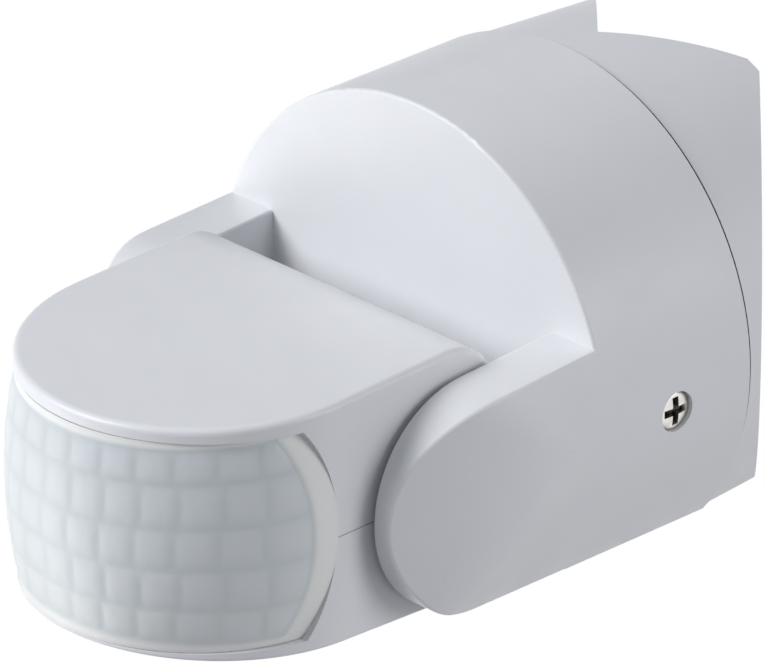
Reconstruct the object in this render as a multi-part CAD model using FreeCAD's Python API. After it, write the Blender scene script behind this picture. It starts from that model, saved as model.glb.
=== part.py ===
import FreeCAD, Part
import math
import os

V = FreeCAD.Vector

# A wall-mounted motion sensor, in millimetres.
# Y = 0 is the wall and -Y points into the room; +Z is up and Z = 0 is the axis of the round body.

# ---- driving dimensions: body and base
BODY_RADIUS = 39.0
BODY_LENGTH = 29.3
BASE_DEPTH = 23.0
BASE_FRONT_RADIUS = 38.5
BASE_WALL_RADIUS = 37.2
BASE_BOTTOM_Z = -24.1
GASKET_THICKNESS = 0.7
GASKET_INSET = 0.05
GASKET_LIFT = 0.4
WALL = 2.2
FACE_WALL = 2.4
BOTTOM_AT_FACE_Z = -23.4
BOTTOM_SLOPE = 0.036
NOTCH_DEPTH = 15.2
LAND_WIDTH = 2.4
SPIGOT_LENGTH = 4.0
SPIGOT_GAP = 0.3
SPIGOT_WALL = 2.0

# ---- driving dimensions: arms and tilt axis
AXIS_TO_FACE = 17.0
AXIS_Z = -5.35
ARM_RADIUS = 17.45
ARM_INNER_X = 28.0
ARM_SWEEP_RADIUS = 55.0
ARM_SWEEP_START = 6.0
ARM_TOP_SLOPE = 0.045
ARM_INNER_WALL = 3.5
ARM_HOLLOW_WIDTH = 2.1
ARM_HOLLOW_RADIUS = 9.0
ARM_SKIN_BLEND = 14.0
ARM_RIM_ROUND = 0.6
ARM_INNER_ROUND = 0.5
FACE_RIM_ROUND = 0.5

# ---- driving dimensions: head
HEAD_HALF_WIDTH = 27.0
HEAD_TOP_Z = 15.7
HEAD_TOP_SLOPE = 0.029
HEAD_LOW_Z = -24.07
HEAD_LOW_SLOPE = 0.0534
HEAD_TOP_REAR = 18.5
HEAD_CENTRE = 39.2
HEAD_REAR = 9.5
HEAD_REAR_RADIUS = 9.0
HEAD_UNDER_RADIUS = 6.0
HUB_RADIUS = 15.5
PARTING_GAP = 0.15
LIP_HEIGHT = 1.5
EDGE_ROUND = 1.0
LOWER_EDGE_ROUND = 0.5

# ---- driving dimensions: lens
LENS_CENTRE = 41.0
LENS_MID_RADIUS = 27.2
LENS_EDGE_SAG = 1.9
LENS_THICKNESS = 1.2
LENS_MID_Z = -4.0
WINDOW_RADIUS = 26.5
WINDOW_CENTRE = 66.6
WINDOW_TOP_Z = 12.4
WINDOW_BOTTOM_Z = -19.8
LENS_GAP = 0.1
RETAINER_WIDTH = 3.5

# ---- driving dimensions: pivots
BUSH_RADIUS = 6.0
BUSH_BORE_RADIUS = 4.6
RUNNING_GAP = 0.05
BUSH_FLANGE_RADIUS = 8.5
BUSH_FLANGE_THICKNESS = 1.6
CLIP_THICKNESS = 0.6
FRICTION_RING_THICKNESS = 0.7

# ---- driving dimensions: fasteners, boards and wiring
SIDE_SCREW_TO_SEAM = 14.8
SIDE_SCREW_Z = -0.8
SIDE_SCREW_HEAD_RADIUS = 2.75
SIDE_SCREW_RECESS_RADIUS = 3.05
SIDE_SCREW_RADIUS = 1.5
SIDE_SCREW_SEAT_X = 37.0
WALL_SCREW_RADIUS = 2.25
WALL_SCREW_SPACING = 30.0
CABLE_HOLE_RADIUS = 3.0
BOARD_THICKNESS = 1.6
KNOB_RADIUS = 4.0
KNOB_PITCH = 13.0
WIRE_RADIUS = 0.5
WIRE_PITCH = 1.3

# ---- stations worked out from the driving dimensions
SHOULDER_Y = -BASE_DEPTH
SEAM_Y = SHOULDER_Y - GASKET_THICKNESS
FACE_Y = SEAM_Y - BODY_LENGTH
AXIS_Y = FACE_Y - AXIS_TO_FACE
HEAD_CENTRE_Y = FACE_Y - HEAD_CENTRE
LENS_CENTRE_Y = FACE_Y - LENS_CENTRE
WINDOW_CENTRE_Y = FACE_Y - WINDOW_CENTRE
SIDE_SCREW_Y = SEAM_Y - SIDE_SCREW_TO_SEAM
KNOB_Y = AXIS_Y - 10.0
SENSOR_BOARD_Y = FACE_Y - 35.0
CONTROL_BOARD_Z = -15.5
POWER_BOARD_Y = FACE_Y + 7.1
BLOCK_X = 17.0
BLOCK_Y = -22.0
BLOCK_PITCH = 8.0

# ---- fixings: screws, posts, lugs and bosses
SIDES = {"left": -1.0, "right": 1.0}
SIDE_SCREW_HEAD_HEIGHT = 1.7
SIDE_SCREW_LENGTH = 9.0
SIDE_SCREW_CLEARANCE = 0.25
SIDE_PAD_RADIUS = 5.4
SIDE_PAD_X = 34.8
LUG_INNER_X = 29.5
LUG_OUTER_X = 34.6
LUG_HALF = 5.0
SMALL_HEAD_RADIUS = 2.2
SMALL_HEAD_HEIGHT = 1.4
SMALL_SCREW_RADIUS = 1.1
BOARD_POSTS = [(x, z) for x in (-25.0, 25.0) for z in (-14.0, 18.0)]
BOARD_POST_RADIUS = 2.6
BOARD_SCREW_LENGTH = 4.2
BASE_POST_RADIUS = 2.8
BASE_POST_BORE = 9.0
WALL_BOSS_RADIUS = 4.5
PAD_Y = -20.8
CLAMP_POSTS = [(-17.0, -8.0), (-17.0, 8.0)]
BLOCK_POSTS = [(BLOCK_X, -8.0), (BLOCK_X, 8.0)]
WALL_SCREWS = [(0.0, -WALL_SCREW_SPACING / 2), (0.0, WALL_SCREW_SPACING / 2)]
CORNER_HOLE_X = 25.5
HEAD_BOSSES = [(-19.5, FACE_Y - 40.5), (19.5, FACE_Y - 40.5), (-13.0, FACE_Y - 14.5), (13.0, FACE_Y - 14.5)]
BOSS_RADIUS = 3.0
HEAD_SCREW_HEAD_RADIUS = 1.9
HEAD_SCREW_HEAD_HEIGHT = 1.3
HEAD_SCREW_RADIUS = 1.0
HEAD_SCREW_LENGTH = 18.5
HEAD_SCREW_WELL_RADIUS = 2.1
HEAD_SCREW_SEAT_Z = -18.0

# ---- cable entries and terminals
ENTRY_X = 14.0
ENTRY_Y = -14.5
ENTRY_RADIUS = 4.5
ENTRY_FLANGE = 1.5
GROMMET_RADIUS = 4.8
GROMMET_FLANGE = 2.2
GROMMET_SEAT = 3.2
BLOCK_HALF_WIDTH = 7.0
BLOCK_HALF_LENGTH = 13.0
BLOCK_HEIGHT = 13.0
CAGE_HALF_WIDTH = 4.4
CAGE_HALF_LENGTH = 2.8
CAGE_FLOOR = 2.5
CAGE_ROOF = 3.0
CAGE_GAP = 0.1
CLAMP_HOLE_Y = BLOCK_Y - 5.5
CLAMP_SCREW_RADIUS = 1.4
TERMINAL_HEAD_RADIUS = 2.1
TERMINAL_HOLE_RADIUS = 1.9
POLES = [-BLOCK_PITCH, 0.0, BLOCK_PITCH]
STRAP_THICKNESS = 4.0
STRAP_HALF_WIDTH = 3.5
STRAP_HALF_LENGTH = 11.5
STRAP_ARCH_RADIUS = 4.0

# ---- parts on the power board
POWER_BOARD_RADIUS = 33.0
POWER_BOARD_LOW_Z = -19.0
RELAY_HEIGHT = 15.0
FILM_CAPACITOR_HEIGHT = 13.0
CASE_ROUND = 0.8
CAN_RADIUS = 5.0
CAN_HEIGHT = 13.0
CAN_PLACE = (-20.0, 6.0)
VARISTOR_RADIUS = 5.0
VARISTOR_ROUND = 1.2
LEG_RADIUS = 0.4
FUSE_RADIUS = 2.3
FUSE_CAP_RADIUS = 2.6
FUSE_CAP_LENGTH = 5.0
FUSE_Z = -16.0
FUSE_ENDS = (2.0, 22.0)

# ---- wiring
WIRE_LEVELS = [AXIS_Z - WIRE_PITCH, AXIS_Z, AXIS_Z + WIRE_PITCH]
WIRE_SPLIT_X = ARM_INNER_X + 1.6
WIRE_SPLIT_GAP = 0.4
HOLLOW_X = ARM_INNER_X + ARM_INNER_WALL + ARM_HOLLOW_WIDTH - WIRE_RADIUS - RUNNING_GAP
WIRE_TURN_X = 27.5
HEAD_WIRE_X = 19.0

# ---- parts on the head's boards
HEAD_WALL_X = HEAD_HALF_WIDTH - WALL
SENSOR_FRONT_Y = SENSOR_BOARD_Y - BOARD_THICKNESS
PIR_LENGTH = 4.3
PIR_RADIUS = 4.1
PIR_FLANGE_RADIUS = 4.6
PIR_ROUND = 0.5
LAMP_RADIUS = 1.5
LAMP_HEIGHT = 3.2
LAMP_PLACE = (-11.0, -11.0)
CELL_RADIUS = 2.5
CELL_HEIGHT = 1.8
CELL_PLACE = (11.0, -11.0)
CONTROL_TOP_Z = CONTROL_BOARD_Z + BOARD_THICKNESS
CONTROL_HALF_WIDTH = 21.0
CONTROL_HALF_DEPTH = 7.0
POT_SIZE = 4.75
POT_BOTTOM_Z = -19.4
KNOB_FACE_Z = -22.7
KNOB_TOP_Z = -19.8
KNOB_STEM_RADIUS = 2.0
KNOB_BAR = (0.9, 3.4, 1.0)

# ---- lengths for cutting and comparing
REACH = 200.0
SPAN = 50.0
TOUCH = 0.02


# ---------------------------------------------------------------- simple solids
def box(x_low, x_high, y_low, y_high, z_low, z_high):
    return Part.makeBox(x_high - x_low, y_high - y_low, z_high - z_low, V(x_low, y_low, z_low))


def rod_x(radius, x_low, x_high, y, z):
    return Part.makeCylinder(radius, x_high - x_low, V(x_low, y, z), V(1, 0, 0))


def rod_y(radius, y_low, y_high, x, z):
    return Part.makeCylinder(radius, y_high - y_low, V(x, y_low, z), V(0, 1, 0))


def rod_z(radius, z_low, z_high, x, y):
    return Part.makeCylinder(radius, z_high - z_low, V(x, y, z_low), V(0, 0, 1))


def prism(corners, along):
    return Part.Face(Part.makePolygon(corners + corners[:1])).extrude(along)


def mirrored(solid, side):
    return solid if side > 0 else solid.mirror(V(0, 0, 0), V(1, 0, 0))


def joined(solids):
    return solids[0].multiFuse(solids[1:]).removeSplitter() if len(solids) > 1 else solids[0]


def group(solids):
    return Part.makeCompound(solids)


def screw_driver_cross(radius, depth):
    """A cross recess about the Z axis, cutting down from Z = 0."""
    half_length = 0.72 * radius
    half_width = 0.14 * radius
    slot = box(-half_length, half_length, -half_width, half_width, -depth, depth)
    return slot.fuse(slot.rotated(V(0, 0, 0), V(0, 0, 1), 90))


def pan_screw(head_radius, head_height, shank_radius, shank_length):
    """A cross-recessed pan screw: the head's seat is at Z = 0 and the shank points to -Z."""
    dome_radius = (head_radius ** 2 + head_height ** 2) / (2 * head_height) * 1.02
    dome = Part.makeSphere(dome_radius, V(0, 0, head_height - dome_radius))
    head = rod_z(head_radius, 0, head_height, 0, 0).common(dome)
    head = head.cut(screw_driver_cross(head_radius, 0.65 * head_height).translated(V(0, 0, head_height)))
    tip = Part.makeCone(0.3 * shank_radius, shank_radius, shank_radius, V(0, 0, -shank_length))
    shank = rod_z(shank_radius, shank_radius - shank_length, 0, 0, 0)
    return joined([head, shank, tip])


def turned(solid, direction, place):
    """The solid with its +Z turned to the direction and its origin moved to the place."""
    moved = solid.copy()
    moved.Placement = FreeCAD.Placement(place, FreeCAD.Rotation(V(0, 0, 1), direction))
    return moved


def middle(edge):
    return edge.valueAt((edge.FirstParameter + edge.LastParameter) / 2)


def rounded(solid, radius, test):
    """The solid with a fillet on each edge whose middle point and box pass the test."""
    return solid.makeFillet(radius, [edge for edge in solid.Edges if test(middle(edge), edge.BoundBox)])


def wire_run(points):
    """A round wire along straight runs, with a ball at each bend."""
    pieces = []
    for start, end in zip(points, points[1:]):
        run = end.sub(start)
        pieces.append(Part.makeCylinder(WIRE_RADIUS, run.Length, start, run))
    for bend in points[1:-1]:
        pieces.append(Part.makeSphere(WIRE_RADIUS, bend))
    return joined(pieces)


# ---------------------------------------------------------------- body
def under_slope(lift):
    """Everything below the body's flat underside, which rises slightly towards the room."""
    near_y = FACE_Y - REACH
    far_y = FACE_Y + REACH
    near_z = BOTTOM_AT_FACE_Z + lift + BOTTOM_SLOPE * REACH
    far_z = BOTTOM_AT_FACE_Z + lift - BOTTOM_SLOPE * REACH
    corners = [V(-REACH, near_y, near_z), V(-REACH, far_y, far_z)]
    corners += [V(-REACH, far_y, -REACH), V(-REACH, near_y, -REACH)]
    return prism(corners, V(2 * REACH, 0, 0))


def arm_top_z(y):
    """The height of the arms' level top, which rises slightly towards the body."""
    return AXIS_Z + ARM_RADIUS * math.hypot(1, ARM_TOP_SLOPE) + ARM_TOP_SLOPE * (y - AXIS_Y)


def plain_arm():
    """The right arm with sharp edges: a round-ended lug, flush with the body and swept in at its tip."""
    back_y = FACE_Y + FACE_WALL
    lean = math.atan(ARM_TOP_SLOPE)
    touch_y = AXIS_Y - ARM_RADIUS * math.sin(lean)
    corners = [(AXIS_Y, AXIS_Z), (touch_y, arm_top_z(touch_y)), (back_y, arm_top_z(back_y))]
    corners += [(back_y, -BODY_RADIUS), (AXIS_Y, -BODY_RADIUS)]
    straight = prism([V(ARM_INNER_X, y, z) for y, z in corners], V(BODY_RADIUS - ARM_INNER_X, 0, 0))
    lug = straight.fuse(rod_x(ARM_RADIUS, ARM_INNER_X, BODY_RADIUS, AXIS_Y, AXIS_Z))
    sweep_y = FACE_Y - ARM_SWEEP_START
    plan = box(0, REACH, sweep_y, back_y, -REACH, REACH)
    plan = plan.fuse(rod_z(ARM_SWEEP_RADIUS, -REACH, REACH, BODY_RADIUS - ARM_SWEEP_RADIUS, sweep_y))
    barrel = rod_y(BODY_RADIUS, FACE_Y - REACH, back_y, 0, 0)
    return lug.common(plan).common(barrel).cut(under_slope(0)).removeSplitter()


def arm():
    """The right arm, its outer skin blended into the swept tip and its rims rounded."""

    def on_skin_crease(point, span):
        reaches_sweep = span.YMax > FACE_Y - ARM_SWEEP_START - TOUCH
        return reaches_sweep and span.YMax < FACE_Y - TOUCH and span.XMax > BODY_RADIUS - TOUCH

    def on_top_or_end(point):
        from_axis = math.hypot(point.y - AXIS_Y, point.z - AXIS_Z)
        on_end = point.y < AXIS_Y and abs(from_axis - ARM_RADIUS) < TOUCH
        on_top = AXIS_Y <= point.y < FACE_Y - TOUCH and abs(point.z - arm_top_z(point.y)) < TOUCH
        return on_end or on_top

    def on_inner_rim(point, span):
        return span.XLength < TOUCH and abs(point.x - ARM_INNER_X) < TOUCH and on_top_or_end(point)

    def on_outer_rim(point, span):
        return on_top_or_end(point) and point.x > ARM_INNER_X + 2 and span.YLength > TOUCH

    solid = rounded(plain_arm(), ARM_SKIN_BLEND, on_skin_crease)
    solid = rounded(solid, ARM_INNER_ROUND, on_inner_rim)
    return rounded(solid, ARM_RIM_ROUND, on_outer_rim)


def arm_hollow():
    """The wiring space inside the right arm, open to the body behind it."""
    low_x = ARM_INNER_X + ARM_INNER_WALL
    high_x = low_x + ARM_HOLLOW_WIDTH
    end = rod_x(ARM_HOLLOW_RADIUS, low_x, high_x, AXIS_Y, AXIS_Z)
    low_z = AXIS_Z - ARM_HOLLOW_RADIUS
    high_z = AXIS_Z + ARM_HOLLOW_RADIUS
    bore = rod_x(BUSH_RADIUS + RUNNING_GAP, ARM_INNER_X - 1, low_x + 1, AXIS_Y, AXIS_Z)
    return joined([end, box(low_x, high_x, AXIS_Y, FACE_Y + FACE_WALL + 1, low_z, high_z), bore])


def main_housing():
    """The round body with both arms, its board posts and its side screw seats."""
    shell = rod_y(BODY_RADIUS, FACE_Y, SEAM_Y, 0, 0).cut(under_slope(0))
    shell = rounded(shell, FACE_RIM_ROUND, lambda point, span: (
        span.YMax < FACE_Y + TOUCH and point.z > BOTTOM_AT_FACE_Z + 1))
    cavity = rod_y(BODY_RADIUS - WALL, FACE_Y + FACE_WALL, SEAM_Y + 1, 0, 0).cut(under_slope(WALL))
    shell = shell.multiFuse([mirrored(arm(), side) for side in SIDES.values()]).removeSplitter()
    shell = shell.cut(cavity)
    for side in SIDES.values():
        shell = shell.cut(mirrored(arm_hollow(), side))
    additions = []
    for x, z in BOARD_POSTS:
        root_y = FACE_Y + FACE_WALL / 2
        additions.append(rod_y(BOARD_POST_RADIUS, root_y, POWER_BOARD_Y - BOARD_THICKNESS, x, z))
    for side in SIDES.values():
        pad = rod_x(SIDE_PAD_RADIUS, SIDE_PAD_X, SIDE_SCREW_SEAT_X + 0.6, SIDE_SCREW_Y, SIDE_SCREW_Z)
        additions.append(mirrored(pad, side))
    shell = shell.multiFuse(additions)
    for x, z in BOARD_POSTS:
        shell = shell.cut(rod_y(SMALL_SCREW_RADIUS, FACE_Y + FACE_WALL, POWER_BOARD_Y, x, z))
    for side in SIDES.values():
        end_x = BODY_RADIUS + 1
        recess = rod_x(SIDE_SCREW_RECESS_RADIUS, SIDE_SCREW_SEAT_X, end_x, SIDE_SCREW_Y, SIDE_SCREW_Z)
        passage_radius = SIDE_SCREW_RADIUS + SIDE_SCREW_CLEARANCE
        passage = rod_x(passage_radius, LUG_INNER_X, SIDE_SCREW_SEAT_X + 1, SIDE_SCREW_Y, SIDE_SCREW_Z)
        shell = shell.cut(mirrored(recess.fuse(passage), side))
    return shell.removeSplitter()


def side_screw(side):
    screw = pan_screw(SIDE_SCREW_HEAD_RADIUS, SIDE_SCREW_HEAD_HEIGHT, SIDE_SCREW_RADIUS, SIDE_SCREW_LENGTH)
    return turned(screw, V(side, 0, 0), V(side * SIDE_SCREW_SEAT_X, SIDE_SCREW_Y, SIDE_SCREW_Z))


# ---------------------------------------------------------------- base
def base_plan(offset):
    """The base seen from above: bevelled for an inside corner, notched for an outside one."""
    tip_x = NOTCH_DEPTH + LAND_WIDTH
    slant = offset * math.sqrt(2)
    wide = BODY_RADIUS + 5
    corners = [(wide, -REACH), (wide, tip_x - slant - wide)]
    corners += [(tip_x - slant + offset, -offset), (NOTCH_DEPTH + slant - offset, -offset)]
    corners += [(0, -NOTCH_DEPTH - slant)]
    corners += [(-x, y) for x, y in reversed(corners[:-1])]
    return prism([V(x, y, -REACH) for x, y in corners], V(0, 0, 2 * REACH))


def base_solid(offset, front_y):
    """The tapered round base, drawn in on every side by the offset."""
    taper = (BASE_FRONT_RADIUS - BASE_WALL_RADIUS) / BASE_DEPTH
    front_radius = BASE_WALL_RADIUS - offset - taper * front_y
    barrel = Part.makeCone(front_radius, BASE_WALL_RADIUS - offset, -front_y, V(0, front_y, 0), V(0, 1, 0))
    floor = box(-REACH, REACH, -REACH, REACH, -REACH, BASE_BOTTOM_Z + offset)
    return barrel.cut(floor).common(base_plan(offset))


def flat_barrel(radius, lift, y_low, y_high):
    return rod_y(radius, y_low, y_high, 0, 0).cut(under_slope(lift))


def corner_hole(side, radius):
    """A hole square to the side bevel, for fixing in an inside corner."""
    on_bevel = V(side * CORNER_HOLE_X, NOTCH_DEPTH + LAND_WIDTH - CORNER_HOLE_X, 0)
    outward = V(side, 1, 0).normalize()
    return Part.makeCylinder(radius, 12, on_bevel.sub(outward * 6), outward)


def wall_base():
    """The base: a hollow shell with a spigot, side screw lugs, screw pads and posts."""
    outer = base_solid(0, SHOULDER_Y)
    spigot_y = SEAM_Y - SPIGOT_LENGTH
    spigot_radius = BODY_RADIUS - WALL - SPIGOT_GAP
    spigot = flat_barrel(spigot_radius, WALL + SPIGOT_GAP, spigot_y, SHOULDER_Y + 1)
    hollow_lift = WALL + SPIGOT_GAP + SPIGOT_WALL
    hollow_end_y = SHOULDER_Y + WALL
    hollow = flat_barrel(spigot_radius - SPIGOT_WALL, hollow_lift, spigot_y - 1, hollow_end_y)
    inside = base_solid(WALL, hollow_end_y)
    shell = outer.fuse(spigot).cut(inside).cut(hollow)
    lug_low_z = SIDE_SCREW_Z - LUG_HALF
    lug_high_z = SIDE_SCREW_Z + LUG_HALF
    lug = box(LUG_INNER_X, LUG_OUTER_X, SIDE_SCREW_Y - LUG_HALF, SHOULDER_Y + 1, lug_low_z, lug_high_z)
    additions = [mirrored(lug, side) for side in SIDES.values()]
    bosses = [rod_y(WALL_BOSS_RADIUS, PAD_Y, 0, x, z) for x, z in WALL_SCREWS]
    bosses.append(rod_y(GROMMET_RADIUS + GROMMET_SEAT, PAD_Y, 0, 0, 0))
    bosses += [rod_y(BASE_POST_RADIUS, BLOCK_Y, 0, x, z) for x, z in BLOCK_POSTS + CLAMP_POSTS]
    additions += [boss.common(base_solid(0, SHOULDER_Y)) for boss in bosses]
    shell = shell.multiFuse(additions)
    for x, z in WALL_SCREWS:
        shell = shell.cut(rod_y(WALL_SCREW_RADIUS, -REACH, 1, x, z))
    shell = shell.cut(rod_y(GROMMET_RADIUS, -REACH, 1, 0, 0))
    shell = shell.cut(rod_z(ENTRY_RADIUS, BASE_BOTTOM_Z - 1, BASE_BOTTOM_Z + 2 * WALL, ENTRY_X, ENTRY_Y))
    for x, z in BLOCK_POSTS + CLAMP_POSTS:
        shell = shell.cut(rod_y(SMALL_SCREW_RADIUS, BLOCK_Y - 1, BLOCK_Y + BASE_POST_BORE, x, z))
    for side in SIDES.values():
        pilot = rod_x(SIDE_SCREW_RADIUS, LUG_INNER_X, LUG_OUTER_X, SIDE_SCREW_Y, SIDE_SCREW_Z)
        shell = shell.cut(mirrored(pilot, side))
        shell = shell.cut(corner_hole(side, WALL_SCREW_RADIUS))
    return shell.removeSplitter()


def base_gasket():
    """The flat seal in the joint between the base and the body."""
    outer = flat_barrel(BASE_FRONT_RADIUS - GASKET_INSET, GASKET_LIFT, SEAM_Y, SHOULDER_Y)
    spigot_radius = BODY_RADIUS - WALL - SPIGOT_GAP
    return outer.cut(flat_barrel(spigot_radius, WALL + SPIGOT_GAP, SEAM_Y - 1, SHOULDER_Y + 1))


def cable_grommet():
    """A rubber bush for the supply cable, seated in the middle of the base."""
    sleeve = rod_y(GROMMET_RADIUS, PAD_Y, -NOTCH_DEPTH - 0.6, 0, 0)
    flange = rod_y(GROMMET_RADIUS + GROMMET_FLANGE, PAD_Y - 1.6, PAD_Y, 0, 0)
    return joined([sleeve, flange]).cut(rod_y(CABLE_HOLE_RADIUS, -REACH, 1, 0, 0))


def entry_plug():
    """The rubber plug that closes the second cable entry, in the base's underside."""
    inner_z = BASE_BOTTOM_Z + WALL
    stem = rod_z(ENTRY_RADIUS, BASE_BOTTOM_Z, inner_z, ENTRY_X, ENTRY_Y)
    flange = rod_z(ENTRY_RADIUS + ENTRY_FLANGE, inner_z, inner_z + 1.2, ENTRY_X, ENTRY_Y)
    dimple = rod_z(ENTRY_RADIUS - ENTRY_FLANGE, BASE_BOTTOM_Z - 1, BASE_BOTTOM_Z + 1.4, ENTRY_X, ENTRY_Y)
    return joined([stem, flange]).cut(dimple)


def terminal_block():
    """The three-pole block for the supply cable's wires."""
    low_x = BLOCK_X - BLOCK_HALF_WIDTH
    high_x = BLOCK_X + BLOCK_HALF_WIDTH
    front_y = BLOCK_Y - BLOCK_HEIGHT
    body = box(low_x, high_x, front_y, BLOCK_Y, -BLOCK_HALF_LENGTH, BLOCK_HALF_LENGTH)
    for z in POLES:
        body = body.cut(cage_block(z, CAGE_GAP))
        body = body.cut(rod_y(TERMINAL_HEAD_RADIUS + 0.2, front_y - 1, front_y + CAGE_ROOF + 1, BLOCK_X, z))
        body = body.cut(rod_x(TERMINAL_HOLE_RADIUS, low_x - 1, high_x + 1, CLAMP_HOLE_Y, z))
    return body


def cage_block(z, gap):
    """The room of one brass cage, grown on its four sides by the gap."""
    half_width = CAGE_HALF_WIDTH + gap
    half_length = CAGE_HALF_LENGTH + gap
    front_y = BLOCK_Y - BLOCK_HEIGHT + CAGE_ROOF
    back_y = BLOCK_Y - CAGE_FLOOR
    return box(BLOCK_X - half_width, BLOCK_X + half_width, front_y, back_y, z - half_length, z + half_length)


def terminal_clamps():
    """The brass cages inside the terminal block."""
    cages = []
    for z in POLES:
        cage = cage_block(z, 0)
        wire_hole = rod_x(TERMINAL_HOLE_RADIUS - 0.2, 0, 2 * BLOCK_X, CLAMP_HOLE_Y, z)
        screw_hole = rod_y(CLAMP_SCREW_RADIUS, BLOCK_Y - BLOCK_HEIGHT, CLAMP_HOLE_Y, BLOCK_X, z)
        cages.append(cage.cut(wire_hole).cut(screw_hole))
    return group(cages)


def terminal_screws():
    """The slotted screws that close the terminal cages."""
    head_y = BLOCK_Y - BLOCK_HEIGHT + 0.6
    seat_y = head_y + 2.2
    screws = []
    for z in POLES:
        head = rod_y(TERMINAL_HEAD_RADIUS, head_y, seat_y, BLOCK_X, z)
        shank = rod_y(CLAMP_SCREW_RADIUS, seat_y, CLAMP_HOLE_Y - 1.8, BLOCK_X, z)
        slot = box(BLOCK_X - 3, BLOCK_X + 3, head_y - 1, head_y + 0.9, z - 0.3, z + 0.3)
        screws.append(joined([head, shank]).cut(slot))
    return group(screws)


def cable_clamp():
    """The arched strap that grips the supply cable."""
    x = CLAMP_POSTS[0][0]
    low_x = x - STRAP_HALF_WIDTH
    high_x = x + STRAP_HALF_WIDTH
    strap = box(low_x, high_x, BLOCK_Y - STRAP_THICKNESS, BLOCK_Y, -STRAP_HALF_LENGTH, STRAP_HALF_LENGTH)
    strap = strap.cut(rod_x(STRAP_ARCH_RADIUS, low_x - 1, high_x + 1, BLOCK_Y + 1.6, 0))
    for post_x, z in CLAMP_POSTS:
        strap = strap.cut(rod_y(SMALL_SCREW_RADIUS + 0.2, BLOCK_Y - 5, BLOCK_Y + 1, post_x, z))
    return strap


def cable_clamp_screws():
    screw = pan_screw(SMALL_HEAD_RADIUS, SMALL_HEAD_HEIGHT, SMALL_SCREW_RADIUS, 11.0)
    return group([turned(screw, V(0, -1, 0), V(x, BLOCK_Y - STRAP_THICKNESS, z)) for x, z in CLAMP_POSTS])


# ---------------------------------------------------------------- electronics in the body
def power_board():
    """The board behind the front face, shaped to the body's bore."""
    board = rod_y(POWER_BOARD_RADIUS, POWER_BOARD_Y - BOARD_THICKNESS, POWER_BOARD_Y, 0, 0)
    board = board.cut(box(-REACH, REACH, -REACH, REACH, -REACH, POWER_BOARD_LOW_Z))
    for x, z in BOARD_POSTS:
        board = board.cut(rod_y(SMALL_SCREW_RADIUS + 0.2, -REACH, 0, x, z))
    return board


def board_screws():
    screw = pan_screw(SMALL_HEAD_RADIUS, SMALL_HEAD_HEIGHT, SMALL_SCREW_RADIUS, BOARD_SCREW_LENGTH)
    return group([turned(screw, V(0, 1, 0), V(x, POWER_BOARD_Y, z)) for x, z in BOARD_POSTS])


def moulded_case(x_low, x_high, height, z_low, z_high):
    """A closed box on the power board, softened round its outer face."""
    case = box(x_low, x_high, POWER_BOARD_Y, POWER_BOARD_Y + height, z_low, z_high)
    return rounded(case, CASE_ROUND, lambda point, span: span.YMax > POWER_BOARD_Y + height - TOUCH)


def relay():
    return moulded_case(-10, 10, RELAY_HEIGHT, 13, 28)


def film_capacitor():
    return moulded_case(-19, -1, FILM_CAPACITOR_HEIGHT, -18.6, -11)


def electrolytic_capacitor():
    """The round smoothing capacitor with its rolled rim and crimped groove."""
    end_y = POWER_BOARD_Y + CAN_HEIGHT
    can = rod_y(CAN_RADIUS, POWER_BOARD_Y, end_y, *CAN_PLACE)
    can = rounded(can, 0.7, lambda point, span: span.YMin > end_y - TOUCH)
    crimp_y = POWER_BOARD_Y + 1.6
    groove = rod_y(CAN_RADIUS + 1, crimp_y, crimp_y + 0.6, *CAN_PLACE)
    return can.cut(groove.cut(rod_y(CAN_RADIUS - 0.4, crimp_y, crimp_y + 0.6, *CAN_PLACE)))


def varistor():
    """The surge absorber: a coated disc on two legs."""
    disc = rod_x(VARISTOR_RADIUS, 13, 17, POWER_BOARD_Y + 7.5, 22)
    disc = rounded(disc, VARISTOR_ROUND, lambda point, span: span.XLength < TOUCH)
    legs = [rod_y(LEG_RADIUS, POWER_BOARD_Y, POWER_BOARD_Y + 4, 15, z) for z in (19.5, 24.5)]
    return joined([disc] + legs)


def fuse():
    """The glass fuse in its two end caps, held on two clips."""
    y = POWER_BOARD_Y + 4.0
    left, right = FUSE_ENDS
    pieces = [rod_x(FUSE_RADIUS, left, right, y, FUSE_Z)]
    for start_x in (left, right - FUSE_CAP_LENGTH):
        x = start_x + FUSE_CAP_LENGTH / 2
        pieces.append(rod_x(FUSE_CAP_RADIUS, start_x, start_x + FUSE_CAP_LENGTH, y, FUSE_Z))
        pieces.append(box(x - 1.2, x + 1.2, POWER_BOARD_Y, y, FUSE_Z - 2.2, FUSE_Z + 2.2))
    return joined(pieces)


def link_wires():
    """The wires from the terminal block to the power board."""
    wire_x = BLOCK_X + 4.5
    return group([rod_y(WIRE_RADIUS, POWER_BOARD_Y, BLOCK_Y - BLOCK_HEIGHT, wire_x, z) for z in POLES])


def arm_wires():
    """The wires from the power board, through the right arm to the pivot."""
    front_y = POWER_BOARD_Y - BOARD_THICKNESS
    turn_y = front_y - 1.5
    runs = []
    for z in WIRE_LEVELS:
        points = [V(WIRE_SPLIT_X + WIRE_SPLIT_GAP / 2, AXIS_Y, z), V(HOLLOW_X, AXIS_Y, z)]
        points += [V(HOLLOW_X, turn_y, z), V(WIRE_TURN_X, turn_y, z), V(WIRE_TURN_X, front_y, z)]
        runs.append(wire_run(points))
    return group(runs)


def head_wires():
    """The same wires on the head's side of the pivot."""
    start_x = WIRE_SPLIT_X - WIRE_SPLIT_GAP / 2
    runs = []
    for z in WIRE_LEVELS:
        points = [V(start_x, AXIS_Y, z), V(HEAD_WIRE_X, AXIS_Y, z), V(HEAD_WIRE_X, SENSOR_BOARD_Y, z)]
        runs.append(wire_run(points))
    return group(runs)


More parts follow.
